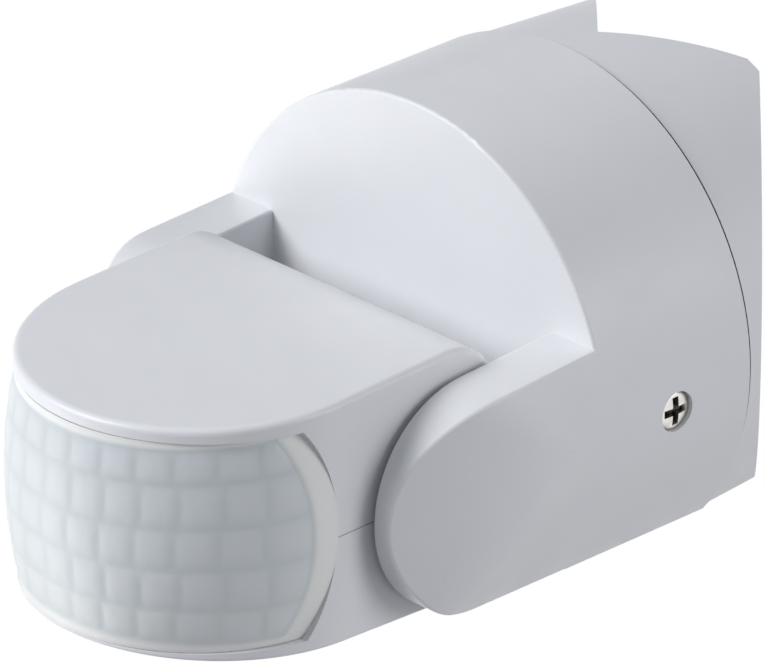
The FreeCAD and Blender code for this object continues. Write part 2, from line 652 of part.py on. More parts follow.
# ---------------------------------------------------------------- pivots
def pivot_bush():
    """The right hollow pivot: clamped in the head, turning in the arm."""
    end_x = ARM_INNER_X + ARM_INNER_WALL + 0.3 + CLIP_THICKNESS
    flange = rod_x(BUSH_FLANGE_RADIUS, HEAD_WALL_X - BUSH_FLANGE_THICKNESS, HEAD_WALL_X, AXIS_Y, AXIS_Z)
    sleeve = rod_x(BUSH_RADIUS, HEAD_WALL_X, end_x, AXIS_Y, AXIS_Z)
    return joined([flange, sleeve]).cut(rod_x(BUSH_BORE_RADIUS, 0, REACH, AXIS_Y, AXIS_Z))


def pivot_clip():
    """The split ring that keeps the right pivot in the arm."""
    low_x = ARM_INNER_X + ARM_INNER_WALL + 0.3
    ring = rod_x(BUSH_RADIUS + 1.8, low_x, low_x + CLIP_THICKNESS, AXIS_Y, AXIS_Z)
    ring = ring.cut(rod_x(BUSH_RADIUS, 0, REACH, AXIS_Y, AXIS_Z))
    return ring.cut(box(0, REACH, AXIS_Y - 1.5, AXIS_Y + 1.5, AXIS_Z, AXIS_Z + REACH))


def friction_ring():
    """The rubber ring between the head's side and the right arm."""
    ring = rod_x(10.0, HEAD_HALF_WIDTH, HEAD_HALF_WIDTH + FRICTION_RING_THICKNESS, AXIS_Y, AXIS_Z)
    return ring.cut(rod_x(BUSH_RADIUS + 0.3, 0, REACH, AXIS_Y, AXIS_Z))


# ---------------------------------------------------------------- head
def head_side_block(offset):
    """The head seen from the side: a wedge with a round hub about the tilt axis."""
    rear_y = FACE_Y - HEAD_REAR - offset
    front_y = FACE_Y - REACH
    rise = HEAD_TOP_REAR - HEAD_REAR - offset
    top_rear_z = HEAD_TOP_Z - offset + HEAD_TOP_SLOPE * rise
    top_front_z = HEAD_TOP_Z - offset - HEAD_TOP_SLOPE * (REACH - HEAD_TOP_REAR)
    low_rear_z = HEAD_LOW_Z + offset + HEAD_LOW_SLOPE * (HEAD_REAR + offset)
    low_front_z = HEAD_LOW_Z + offset + HEAD_LOW_SLOPE * REACH
    corners = [V(-SPAN, front_y, top_front_z), V(-SPAN, rear_y, top_rear_z)]
    corners += [V(-SPAN, rear_y, low_rear_z), V(-SPAN, front_y, low_front_z)]
    block = prism(corners, V(2 * SPAN, 0, 0))
    block = rounded(block, HEAD_REAR_RADIUS - offset, lambda point, span: (
        span.YMin > rear_y - TOUCH and span.ZMin > top_rear_z - TOUCH))
    block = rounded(block, HEAD_UNDER_RADIUS - offset, lambda point, span: (
        span.YMin > rear_y - TOUCH and span.ZMax < low_rear_z + TOUCH))
    return block.fuse(rod_x(HUB_RADIUS - offset, -SPAN, SPAN, AXIS_Y, AXIS_Z))


def head_plan(offset):
    """The head seen from above: straight sides and a half-round front."""
    half = HEAD_HALF_WIDTH - offset
    straight = box(-half, half, HEAD_CENTRE_Y, FACE_Y, -REACH, REACH)
    return straight.fuse(rod_z(half, -REACH, REACH, 0, HEAD_CENTRE_Y))


def head_solid(offset):
    return head_side_block(offset).common(head_plan(offset)).removeSplitter()


def rounded_head():
    """The head's outer form with its upper and lower rims softened."""

    def on_side(point):
        return abs(point.x) > 1 or point.y < HEAD_CENTRE_Y

    def on_upper_rim(point, span):
        top_z = HEAD_TOP_Z + HEAD_TOP_SLOPE * (point.y - FACE_Y + HEAD_TOP_REAR)
        return on_side(point) and abs(point.z - top_z) < TOUCH

    def on_lower_rim(point, span):
        low_z = HEAD_LOW_Z - HEAD_LOW_SLOPE * (point.y - FACE_Y)
        return on_side(point) and abs(point.z - low_z) < TOUCH

    solid = rounded(head_solid(0), EDGE_ROUND, on_upper_rim)
    return rounded(solid, LOWER_EDGE_ROUND, on_lower_rim)


def window(side_growth, height_growth):
    """The lens opening seen from the side, right across the head's front."""
    drum = rod_x(WINDOW_RADIUS + side_growth, -SPAN, SPAN, WINDOW_CENTRE_Y, LENS_MID_Z)
    slab = box(-SPAN, SPAN, -REACH, 0, WINDOW_BOTTOM_Z - height_growth, WINDOW_TOP_Z + height_growth)
    return drum.common(slab)


def lens_band(outer_offset, thickness):
    """A barrel-shaped band about the lens's upright axis."""
    half_height = WINDOW_TOP_Z - LENS_MID_Z
    bulge_radius = (half_height ** 2 + LENS_EDGE_SAG ** 2) / (2 * LENS_EDGE_SAG)
    radius = LENS_MID_RADIUS - outer_offset

    def barrel(size):
        reach = 20.0
        drop = bulge_radius - math.sqrt(bulge_radius ** 2 - reach ** 2)
        low = V(size - drop, 0, LENS_MID_Z - reach)
        high = V(size - drop, 0, LENS_MID_Z + reach)
        curve = Part.Arc(low, V(size, 0, LENS_MID_Z), high).toShape()
        sides = Part.makePolygon([high, V(0, 0, high.z), V(0, 0, low.z), low])
        face = Part.Face(Part.Wire([curve] + sides.Edges))
        return face.revolve(V(0, 0, 0), V(0, 0, 1), 360).translated(V(0, LENS_CENTRE_Y, 0))

    return barrel(radius).cut(barrel(radius - thickness))


def fresnel_lens():
    """The bulged front lens, edged by the opening's arcs."""
    return lens_band(0, LENS_THICKNESS).common(window(-LENS_GAP, -LENS_GAP))


def lens_retainer():
    """The frame that presses the lens's border from behind."""
    band = lens_band(LENS_THICKNESS, 1.2).common(window(-LENS_GAP, -LENS_GAP))
    return band.cut(window(-RETAINER_WIDTH, -RETAINER_WIDTH))


def pivot_seat():
    """The room that both pivots take in the head's side walls."""
    bush = rod_x(BUSH_RADIUS, HEAD_WALL_X - 1, HEAD_HALF_WIDTH + 1, AXIS_Y, AXIS_Z)
    return group([mirrored(bush, side) for side in SIDES.values()])


def head_top_shell():
    """The upper half of the head's case, with the roof over the lens."""
    shell = rounded_head().cut(head_solid(WALL))
    bosses = [rod_z(BOSS_RADIUS, AXIS_Z, HEAD_TOP_Z, x, y) for x, y in HEAD_BOSSES]
    shell = shell.multiFuse([boss.common(head_solid(WALL / 2)) for boss in bosses])
    shell = shell.cut(window(0, 0)).cut(pivot_seat())
    shell = shell.cut(box(-SPAN, SPAN, -REACH, 0, -REACH, AXIS_Z + PARTING_GAP / 2))
    lip_room = head_solid(WALL / 2 - 0.1).cut(head_solid(WALL + 1))
    shell = shell.cut(lip_room.common(box(-SPAN, SPAN, -REACH, 0, AXIS_Z - 5, AXIS_Z + LIP_HEIGHT + 0.1)))
    for x, y in HEAD_BOSSES:
        shell = shell.cut(rod_z(HEAD_SCREW_RADIUS, AXIS_Z - 1, AXIS_Z + 7, x, y))
    return shell.removeSplitter()


def knob_places():
    return [(column * KNOB_PITCH, KNOB_Y) for column in (-1, 0, 1)]


def head_bottom_shell():
    """The lower half of the head's case, with the knob holes and screw wells."""
    shell = rounded_head().cut(head_solid(WALL))
    bosses = [rod_z(BOSS_RADIUS, -REACH, AXIS_Z, x, y) for x, y in HEAD_BOSSES]
    shell = shell.multiFuse([boss.common(head_solid(WALL / 2)) for boss in bosses])
    shell = shell.cut(box(-SPAN, SPAN, -REACH, 0, AXIS_Z - PARTING_GAP / 2, REACH))
    lip = head_solid(WALL / 2).cut(head_solid(WALL))
    shell = shell.fuse(lip.common(box(-SPAN, SPAN, -REACH, 0, AXIS_Z - 3, AXIS_Z + LIP_HEIGHT)))
    shell = shell.cut(window(0, 0)).cut(pivot_seat())
    for x, y in HEAD_BOSSES:
        shell = shell.cut(rod_z(HEAD_SCREW_RADIUS + 0.2, -REACH, AXIS_Z + 3, x, y))
        shell = shell.cut(rod_z(HEAD_SCREW_WELL_RADIUS, -REACH, HEAD_SCREW_SEAT_Z, x, y))
    for x, y in knob_places():
        shell = shell.cut(rod_z(KNOB_RADIUS + RUNNING_GAP, -REACH, AXIS_Z - 5, x, y))
    return shell.removeSplitter()


def head_screws():
    screw = pan_screw(HEAD_SCREW_HEAD_RADIUS, HEAD_SCREW_HEAD_HEIGHT, HEAD_SCREW_RADIUS, HEAD_SCREW_LENGTH)
    return group([turned(screw, V(0, 0, -1), V(x, y, HEAD_SCREW_SEAT_Z)) for x, y in HEAD_BOSSES])


def sensor_board():
    """The upright board behind the lens."""
    return box(-22, 22, SENSOR_BOARD_Y - BOARD_THICKNESS, SENSOR_BOARD_Y, -17.5, 10)


def pir_element():
    """The heat sensor's metal can, with an opening for its filter."""
    face_y = SENSOR_FRONT_Y - PIR_LENGTH
    flange = rod_y(PIR_FLANGE_RADIUS, SENSOR_FRONT_Y - 0.5, SENSOR_FRONT_Y, 0, LENS_MID_Z)
    can = rod_y(PIR_RADIUS, face_y, SENSOR_FRONT_Y, 0, LENS_MID_Z)
    can = rounded(can, PIR_ROUND, lambda point, span: span.YMax < face_y + TOUCH)
    return joined([flange, can]).cut(pir_filter())


def pir_filter():
    """The dark filter in the can's face."""
    face_y = SENSOR_FRONT_Y - PIR_LENGTH
    return box(-2.0, 2.0, face_y, face_y + 0.5, LENS_MID_Z - 1.5, LENS_MID_Z + 1.5)


def status_led():
    """The indicator lamp on the sensor board."""
    x, z = LAMP_PLACE
    shoulder_y = SENSOR_FRONT_Y - LAMP_HEIGHT
    stem = rod_y(LAMP_RADIUS, shoulder_y, SENSOR_FRONT_Y, x, z)
    dome = Part.makeSphere(LAMP_RADIUS, V(x, shoulder_y, z))
    return joined([stem, dome, rod_y(LAMP_RADIUS + 0.4, SENSOR_FRONT_Y - 0.8, SENSOR_FRONT_Y, x, z)])


def photocell():
    """The daylight sensor on the sensor board."""
    return rod_y(CELL_RADIUS, SENSOR_FRONT_Y - CELL_HEIGHT, SENSOR_FRONT_Y, *CELL_PLACE)


def control_board():
    """The level board that carries the three adjusters."""
    low_y = KNOB_Y - CONTROL_HALF_DEPTH
    high_y = KNOB_Y + CONTROL_HALF_DEPTH
    return box(-CONTROL_HALF_WIDTH, CONTROL_HALF_WIDTH, low_y, high_y, CONTROL_BOARD_Z, CONTROL_TOP_Z)


def potentiometers():
    """The bodies of the three adjusters, each with a hole for its knob's stem."""
    bodies = []
    for x, y in knob_places():
        body = box(x - POT_SIZE, x + POT_SIZE, y - POT_SIZE, y + POT_SIZE, POT_BOTTOM_Z, CONTROL_BOARD_Z)
        stem_room = rod_z(KNOB_STEM_RADIUS + RUNNING_GAP, POT_BOTTOM_Z - 1, CONTROL_BOARD_Z - 0.8, x, y)
        bodies.append(body.cut(stem_room))
    return group(bodies)


def knob(index):
    """An adjuster knob: a slotted disc with a pointer bar and a stem into its potentiometer."""
    x, y = knob_places()[index]
    disc = rod_z(KNOB_RADIUS, KNOB_FACE_Z, KNOB_TOP_Z, x, y)
    stem = rod_z(KNOB_STEM_RADIUS, KNOB_TOP_Z, CONTROL_BOARD_Z - 1.1, x, y)
    half_width, half_length, height = KNOB_BAR
    low_z = KNOB_FACE_Z - height
    bar = box(x - half_width, x + half_width, y - half_length, y + half_length, low_z, KNOB_FACE_Z)
    mark = box(x - 0.3, x + 0.3, y - 3.6, y - 1.2, KNOB_FACE_Z - 1.2, KNOB_FACE_Z - 0.7)
    return joined([disc, stem, bar]).cut(mark)


# ---------------------------------------------------------------- all the pieces
def all_pieces():
    pieces = {
        "wall_base": wall_base(),
        "base_gasket": base_gasket(),
        "cable_grommet": cable_grommet(),
        "entry_plug": entry_plug(),
        "terminal_block": terminal_block(),
        "terminal_clamps": terminal_clamps(),
        "terminal_screws": terminal_screws(),
        "cable_clamp": cable_clamp(),
        "cable_clamp_screws": cable_clamp_screws(),
        "main_housing": main_housing(),
        "power_board": power_board(),
        "board_screws": board_screws(),
        "relay": relay(),
        "film_capacitor": film_capacitor(),
        "electrolytic_capacitor": electrolytic_capacitor(),
        "varistor": varistor(),
        "fuse": fuse(),
        "link_wires": link_wires(),
        "arm_wires": arm_wires(),
        "head_wires": head_wires(),
        "head_top_shell": head_top_shell(),
        "head_bottom_shell": head_bottom_shell(),
        "fresnel_lens": fresnel_lens(),
        "lens_retainer": lens_retainer(),
        "head_screws": head_screws(),
        "sensor_board": sensor_board(),
        "pir_element": pir_element(),
        "pir_filter": pir_filter(),
        "status_led": status_led(),
        "photocell": photocell(),
        "control_board": control_board(),
        "potentiometers": potentiometers(),
    }
    for index, name in enumerate(("time_knob", "light_knob", "range_knob")):
        pieces[name] = knob(index)
    for name, side in SIDES.items():
        pieces["housing_screw_" + name] = side_screw(side)
        pieces["pivot_bush_" + name] = mirrored(pivot_bush(), side)
        pieces["pivot_clip_" + name] = mirrored(pivot_clip(), side)
        pieces["friction_ring_" + name] = mirrored(friction_ring(), side)
    return pieces


def main():
    os.makedirs("parts", exist_ok=True)
    for name, shape in all_pieces().items():
        print(f"{name}: solids {len(shape.Solids)}, valid {shape.isValid()}, volume {shape.Volume:.1f}")
        shape.exportStep(os.path.join("parts", name + ".step"))


main()
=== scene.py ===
import logging
import math
from collections.abc import Sequence
from dataclasses import dataclass, field
from enum import Enum

import bmesh
import bpy
from bmesh.types import BMesh, BMEdge, BMVert
from mathutils import Matrix, Vector


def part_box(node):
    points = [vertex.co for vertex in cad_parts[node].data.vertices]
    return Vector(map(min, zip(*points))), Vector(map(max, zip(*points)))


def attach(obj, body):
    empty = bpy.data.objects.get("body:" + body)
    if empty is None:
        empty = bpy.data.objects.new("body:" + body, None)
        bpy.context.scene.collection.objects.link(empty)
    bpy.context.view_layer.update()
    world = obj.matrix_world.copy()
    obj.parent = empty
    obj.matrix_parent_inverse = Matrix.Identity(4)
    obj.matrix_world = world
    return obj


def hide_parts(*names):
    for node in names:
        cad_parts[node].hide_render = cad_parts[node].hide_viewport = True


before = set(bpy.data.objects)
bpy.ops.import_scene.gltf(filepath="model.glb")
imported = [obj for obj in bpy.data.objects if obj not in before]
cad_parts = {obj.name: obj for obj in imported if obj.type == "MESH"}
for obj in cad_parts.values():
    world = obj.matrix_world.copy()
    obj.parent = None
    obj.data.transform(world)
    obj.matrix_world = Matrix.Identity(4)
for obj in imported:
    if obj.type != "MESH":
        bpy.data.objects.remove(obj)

logging.basicConfig(level=logging.INFO, format="%(message)s")
log = logging.getLogger("motion_sensor")

MM = 0.001
# A wave texture multiplies its coordinates by this before the sine.
WAVE_FACTOR = 20
# Edges that turn more than this, in degrees, are drawn sharp.
SMOOTH_DEGREES = 34
# Points of a turned profile closer than this, in millimetres, are one point.
WELD_MM = 1e-4
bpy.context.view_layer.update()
Colour = tuple[float, float, float, float]


# ---------------------------------------------------------------- colours and nodes
def linear(hex_colour: str, alpha: float = 1.0) -> Colour:
    """Turns an sRGB hex value into the linear colour that shaders take.

    Args:
        hex_colour: six hex digits, with or without a leading hash.
        alpha: the fourth channel.

    Returns:
        The linear red, green, blue and alpha.
    """
    digits = hex_colour.lstrip("#")
    channels = []
    for start in (0, 2, 4):
        value = int(digits[start:start + 2], 16) / 255
        channels.append(value / 12.92 if value <= 0.04045 else ((value + 0.055) / 1.055) ** 2.4)
    return (channels[0], channels[1], channels[2], alpha)


def per_metre(size_mm: float) -> float:
    """Gives the texture scale at which one feature of a pattern is the size in millimetres."""
    return 1.0 / (size_mm * MM)


def add_node(
    tree: bpy.types.NodeTree,
    kind: str,
    settings: dict[str, object] | None = None,
    values: dict[str | int, object] | None = None,
    links: dict[str | int, bpy.types.NodeSocket] | None = None,
) -> bpy.types.Node:
    """Adds a node, sets it and links it.

    Args:
        tree: the node tree to add to.
        kind: the node's type name.
        settings: the node's own properties.
        values: the values of its input sockets, by name or place.
        links: what feeds its input sockets, by name or place.

    Returns:
        The new node.
    """
    node = tree.nodes.new(kind)
    for name, setting in (settings or {}).items():
        setattr(node, name, setting)
    for socket, value in (values or {}).items():
        node.inputs[socket].default_value = value
    for socket, source in (links or {}).items():
        tree.links.new(source, node.inputs[socket])
    return node


def wave_scale(size_mm: float) -> float:
    """Gives a wave texture's scale: its own factor taken out, so a full wave is 2 pi times the size."""
    return per_metre(size_mm) / WAVE_FACTOR


def noise(tree: bpy.types.NodeTree, place: bpy.types.NodeSocket, size_mm: float, detail: float) -> bpy.types.Node:
    """Adds a noise texture with features of the size in millimetres."""
    return add_node(tree, "ShaderNodeTexNoise", {}, {"Scale": per_metre(size_mm), "Detail": detail},
                    {"Vector": place})


def blend(tree: bpy.types.NodeTree, first: str, second: str, amount: bpy.types.NodeSocket) -> bpy.types.Node:
    """Adds a mix of two hex colours."""
    return add_node(tree, "ShaderNodeMix", {"data_type": "RGBA"}, {"A": linear(first), "B": linear(second)},
                    {"Factor": amount})


def bumped(
    tree: bpy.types.NodeTree, strength: float, depth_mm: float, height: bpy.types.NodeSocket,
) -> bpy.types.Node:
    """Adds a bump of the depth in millimetres."""
    return add_node(tree, "ShaderNodeBump", {}, {"Strength": strength, "Distance": depth_mm * MM},
                    {"Height": height})


class Side(Enum):
    """The two sides of the object, with their sign along X."""

    LEFT = -1
    RIGHT = 1


class Axis(Enum):
    """The direction in which a metal was drawn, brushed or turned."""

    X = 0
    Y = 1
    Z = 2


# ---------------------------------------------------------------- finishes
@dataclass(frozen=True)
class Finish:
    """A finish: the material a maker would order, and a slot name that is kept with it but not used here."""

    name: str
    slot: str

    def material(self) -> bpy.types.Material:
        """Makes the material at the first call and hands out the same one after that.

        Returns:
            The material.
        """
        known = bpy.data.materials.get(self.name)
        if known is not None:
            return known
        made = bpy.data.materials.new(self.name)
        made.use_nodes = True
        tree = made.node_tree
        tree.nodes.clear()
        place = add_node(tree, "ShaderNodeTexCoord").outputs["Object"]
        output = add_node(tree, "ShaderNodeOutputMaterial")
        tree.links.new(self.shader(tree, place), output.inputs["Surface"])
        return made

    def shader(self, tree: bpy.types.NodeTree, place: bpy.types.NodeSocket) -> bpy.types.NodeSocket:
        """Builds the shader of this finish.

        Args:
            tree: the material's node tree.
            place: Object coordinates, in metres.

        Returns:
            The shader's output socket.
        """
        raise NotImplementedError


@dataclass(frozen=True)
class MouldedPlastic(Finish):
    """An injection-moulded plastic: an even colour with faint clouding under a fine eroded grain."""

    colour: str = "#E9EAEB"
    shade: str = "#E3E4E6"
    roughness: float = 0.42
    roughness_spread: float = 0.07
    cloud_mm: float = 14.0
    grain_mm: float = 0.35
    grain_depth_mm: float = 0.012
    ior: float = 1.53
    glow_mm: float = 0.0

    def shader(self, tree: bpy.types.NodeTree, place: bpy.types.NodeSocket) -> bpy.types.NodeSocket:
        """Builds a plastic with clouded colour, varied gloss and a two-step grain."""
        cloud = add_node(tree, "ShaderNodeTexNoise", {"noise_dimensions": "3D"},
                         {"Scale": per_metre(self.cloud_mm), "Detail": 4.0, "Roughness": 0.55}, {"Vector": place})
        tint = blend(tree, self.colour, self.shade, cloud.outputs["Fac"])
        handling = add_node(tree, "ShaderNodeTexNoise", {},
                            {"Scale": per_metre(self.cloud_mm / 3), "Detail": 5.0, "Distortion": 0.6},
                            {"Vector": place})
        gloss = add_node(tree, "ShaderNodeMapRange", {},
                         {"From Min": 0.3, "From Max": 0.7, "To Min": self.roughness - self.roughness_spread,
                          "To Max": self.roughness + self.roughness_spread},
                         {"Value": handling.outputs["Fac"]})
        grain = add_node(tree, "ShaderNodeTexNoise", {},
                         {"Scale": per_metre(self.grain_mm), "Detail": 2.5, "Roughness": 0.6}, {"Vector": place})
        pits = add_node(tree, "ShaderNodeTexVoronoi", {"feature": "SMOOTH_F1"},
                        {"Scale": per_metre(2 * self.grain_mm), "Smoothness": 0.8}, {"Vector": place})
        height = add_node(tree, "ShaderNodeMath", {"operation": "MULTIPLY_ADD"}, {1: 0.4},
                          {0: pits.outputs["Distance"], 2: grain.outputs["Fac"]})
        bump = bumped(tree, 0.35, self.grain_depth_mm, height.outputs["Value"])
        plastic = add_node(tree, "ShaderNodeBsdfPrincipled", {}, {"IOR": self.ior},
                           {"Base Color": tint.outputs["Result"], "Roughness": gloss.outputs["Result"],
                            "Normal": bump.outputs["Normal"]})
        if self.glow_mm > 0:
            plastic.inputs["Subsurface Weight"].default_value = 0.25
            plastic.inputs["Subsurface Radius"].default_value = (1.0, 0.8, 0.65)
            plastic.inputs["Subsurface Scale"].default_value = self.glow_mm * MM
        return plastic.outputs["BSDF"]


@dataclass(frozen=True)
class LensPolyethylene(Finish):
    """Milky polyethylene, its segments lighter in the middle and darker at their edges as painted shade in the
    grooves, with turned rings on its back face.
    """

    milk: str = "#F0F0EC"
    # Each segment's middle takes the clear tone; the groove tone is painted shade towards its edges, in the
    # grooves.
    clear: str = "#D9DEDF"
    groove_shade: str = "#CED5D6"
    roughness: float = 0.36
    ring_mm: float = 0.45
    ior: float = 1.52

    def shader(self, tree: bpy.types.NodeTree, place: bpy.types.NodeSocket) -> bpy.types.NodeSocket:
        """Builds a milky sheet whose tint follows the segment attribute of the mesh, with painted shade on the
        upper rows and in the grooves between segments.
        """
        segment = add_node(tree, "ShaderNodeAttribute", {"attribute_name": "segment"})
        centre = add_node(tree, "ShaderNodeAttribute", {"attribute_name": "segment_middle"})
        cloud = noise(tree, place, 7.0, 3.0)
        wander = add_node(tree, "ShaderNodeMapRange", {}, {"To Min": -0.16, "To Max": 0.16},
                          {"Value": cloud.outputs["Fac"]})
        lit = add_node(tree, "ShaderNodeMath", {"operation": "ADD", "use_clamp": True}, {},
                       {0: centre.outputs["Fac"], 1: wander.outputs["Result"]})
        # Painted shade: each segment goes from its lighter middle to the darker groove tone at its edges.
        cell = blend(tree, self.groove_shade, self.clear, lit.outputs["Value"])
        tint = add_node(tree, "ShaderNodeMix", {"data_type": "RGBA"}, {"A": linear(self.milk)},
                        {"Factor": segment.outputs["Fac"], "B": cell.outputs["Result"]})
        rings = add_node(tree, "ShaderNodeTexWave", {"wave_type": "RINGS", "rings_direction": "SPHERICAL"},
                         {"Scale": wave_scale(self.ring_mm), "Distortion": 0.3}, {"Vector": place})
        haze = noise(tree, place, 0.5, 2.0)
        height = add_node(tree, "ShaderNodeMath", {"operation": "MULTIPLY_ADD"}, {1: 0.3},
                          {0: rings.outputs["Fac"], 2: haze.outputs["Fac"]})
        bump = bumped(tree, 0.2, 0.012, height.outputs["Value"])
        gloss = add_node(tree, "ShaderNodeMapRange", {},
                         {"To Min": self.roughness - 0.06, "To Max": self.roughness + 0.08},
                         {"Value": cloud.outputs["Fac"]})
        sheet = add_node(tree, "ShaderNodeBsdfPrincipled", {},
                         {"IOR": self.ior, "Subsurface Weight": 0.3, "Subsurface Radius": (1.0, 0.95, 0.9),
                          "Subsurface Scale": 1.4 * MM},
                         {"Base Color": tint.outputs["Result"], "Roughness": gloss.outputs["Result"],
                          "Normal": bump.outputs["Normal"]})
        return sheet.outputs["BSDF"]


@dataclass(frozen=True)
class WorkedMetal(Finish):
    """A metal with fine tool marks along one axis, plating mottle, and painted near-black shade on the faces
    marked as recessed.
    """

    colour: str = "#C9CBCC"
    tarnish: str = "#A9ACAE"
    roughness: float = 0.26
    mark_mm: float = 0.12
    mark_depth_mm: float = 0.006
    along: Axis = Axis.X
    # The near-black painted shade for marked recesses.
    painted_recess_shade: str = "#3B3833"

    def shader(self, tree: bpy.types.NodeTree, place: bpy.types.NodeSocket) -> bpy.types.NodeSocket:
        """Builds a metal with stretched marks in its gloss and bump, and painted shade in marked recesses."""
        stretch = [1.0, 1.0, 1.0]
        stretch[self.along.value] = 0.08
        drawn = add_node(tree, "ShaderNodeMapping", {}, {"Scale": stretch}, {"Vector": place})
        marks = add_node(tree, "ShaderNodeTexNoise", {},
                         {"Scale": per_metre(self.mark_mm), "Detail": 3.0, "Roughness": 0.7},
                         {"Vector": drawn.outputs["Vector"]})
        mottle = noise(tree, place, 1.6, 4.0)
        patch = add_node(tree, "ShaderNodeMapRange", {}, {"From Min": 0.42, "From Max": 0.68},
                         {"Value": mottle.outputs["Fac"]})
        tint = blend(tree, self.colour, self.tarnish, patch.outputs["Result"])
        # Painted shade: where the mesh marks a recess, the tint goes to a near-black shade colour.
        recess = add_node(tree, "ShaderNodeAttribute", {"attribute_name": "recess"})
        recess_shaded_tint = add_node(tree, "ShaderNodeMix", {"data_type": "RGBA"}, {"B": linear(self.painted_recess_shade)},
                          {"Factor": recess.outputs["Fac"], "A": tint.outputs["Result"]})
        gloss = add_node(tree, "ShaderNodeMapRange", {},
                         {"To Min": self.roughness - 0.08, "To Max": self.roughness + 0.12},
                         {"Value": marks.outputs["Fac"]})
        bump = bumped(tree, 0.4, self.mark_depth_mm, marks.outputs["Fac"])
        metal = add_node(tree, "ShaderNodeBsdfPrincipled", {}, {"Metallic": 1.0},
                         {"Base Color": recess_shaded_tint.outputs["Result"], "Roughness": gloss.outputs["Result"],
                          "Normal": bump.outputs["Normal"]})
        return metal.outputs["BSDF"]


@dataclass(frozen=True)
class MouldedRubber(Finish):
    """A moulded rubber: dark or grey, matt, with a faint pale bloom."""

    colour: str = "#2A2B2D"
    bloom: str = "#4A4C4F"
    roughness: float = 0.68
    grain_mm: float = 0.3

    def shader(self, tree: bpy.types.NodeTree, place: bpy.types.NodeSocket) -> bpy.types.NodeSocket:
        """Builds a matt rubber with bloom in patches."""
        patch = noise(tree, place, 4.0, 6.0)
        amount = add_node(tree, "ShaderNodeMapRange", {}, {"From Min": 0.5, "From Max": 0.8},
                          {"Value": patch.outputs["Fac"]})
        tint = blend(tree, self.colour, self.bloom, amount.outputs["Result"])
        grain = noise(tree, place, self.grain_mm, 3.0)
        gloss = add_node(tree, "ShaderNodeMapRange", {},
                         {"To Min": self.roughness - 0.08, "To Max": self.roughness + 0.1},
                         {"Value": grain.outputs["Fac"]})
        bump = bumped(tree, 0.5, 0.02, grain.outputs["Fac"])
        rubber = add_node(tree, "ShaderNodeBsdfPrincipled", {}, {"IOR": 1.52, "Specular IOR Level": 0.35},
                          {"Base Color": tint.outputs["Result"], "Roughness": gloss.outputs["Result"],
                           "Normal": bump.outputs["Normal"]})
        return rubber.outputs["BSDF"]


@dataclass(frozen=True)
class BoardLaminate(Finish):
    """Glass-epoxy board: a green solder mask over copper tracks, with the glass weave showing faintly."""

    mask: str = "#1E5A38"
    over_copper: str = "#2F7A4C"
    weave_mm: float = 0.6
    track_mm: float = 4.5

    def shader(self, tree: bpy.types.NodeTree, place: bpy.types.NodeSocket) -> bpy.types.NodeSocket:
        """Builds a lacquered board with tracks as a cell pattern and a crossed weave in relief."""
        tracks = add_node(tree, "ShaderNodeTexVoronoi", {"feature": "DISTANCE_TO_EDGE", "distance": "EUCLIDEAN"},
                          {"Scale": per_metre(self.track_mm), "Randomness": 0.55}, {"Vector": place})
        copper = add_node(tree, "ShaderNodeMapRange", {"clamp": True},
                          {"From Min": 0.05, "From Max": 0.08, "To Min": 1.0, "To Max": 0.0},
                          {"Value": tracks.outputs["Distance"]})
        tint = blend(tree, self.mask, self.over_copper, copper.outputs["Result"])
        warp = add_node(tree, "ShaderNodeTexWave", {"bands_direction": "X"},
                        {"Scale": wave_scale(self.weave_mm)}, {"Vector": place})
        weft = add_node(tree, "ShaderNodeTexWave", {"bands_direction": "Z"},
                        {"Scale": wave_scale(self.weave_mm)}, {"Vector": place})
        cloth = add_node(tree, "ShaderNodeMath", {"operation": "MULTIPLY"}, {},
                         {0: warp.outputs["Fac"], 1: weft.outputs["Fac"]})
        relief = add_node(tree, "ShaderNodeMath", {"operation": "MULTIPLY_ADD"}, {1: 0.25},
                          {0: cloth.outputs["Value"], 2: copper.outputs["Result"]})
        bump = bumped(tree, 0.6, 0.035, relief.outputs["Value"])
        board = add_node(tree, "ShaderNodeBsdfPrincipled", {},
                         {"IOR": 1.55, "Roughness": 0.28, "Coat Weight": 0.4, "Coat Roughness": 0.12},
                         {"Base Color": tint.outputs["Result"], "Normal": bump.outputs["Normal"]})
        return board.outputs["BSDF"]


@dataclass(frozen=True)
class SilverCan(Finish):
    """A capacitor in a shrunk film sleeve, with a pale stripe down one side and a bare metal end."""

    sleeve: str = "#23262B"
    stripe: str = "#9FA4AA"
    metal: str = "#C6C9CB"
    axis_x_mm: float = -20.0
    stripe_from_axis_mm: float = 4.1
    end_y_mm: float = -33.9

    def shader(self, tree: bpy.types.NodeTree, place: bpy.types.NodeSocket) -> bpy.types.NodeSocket:
        """Builds the sleeve and changes to metal on the can's end."""
        apart = add_node(tree, "ShaderNodeSeparateXYZ", {}, {}, {"Vector": place})
        on_stripe = add_node(tree, "ShaderNodeMath", {"operation": "GREATER_THAN"},
                             {1: (self.axis_x_mm + self.stripe_from_axis_mm) * MM}, {0: apart.outputs["X"]})
        on_end = add_node(tree, "ShaderNodeMath", {"operation": "GREATER_THAN"}, {1: self.end_y_mm * MM},
                          {0: apart.outputs["Y"]})
        film = blend(tree, self.sleeve, self.stripe, on_stripe.outputs["Value"])
        tint = add_node(tree, "ShaderNodeMix", {"data_type": "RGBA"}, {"B": linear(self.metal)},
                        {"Factor": on_end.outputs["Value"], "A": film.outputs["Result"]})
        wrinkle = noise(tree, place, 1.2, 3.0)
        bump = bumped(tree, 0.4, 0.04, wrinkle.outputs["Fac"])
        can = add_node(tree, "ShaderNodeBsdfPrincipled", {}, {"Roughness": 0.27},
                       {"Base Color": tint.outputs["Result"], "Metallic": on_end.outputs["Value"],
                        "Normal": bump.outputs["Normal"]})
        return can.outputs["BSDF"]


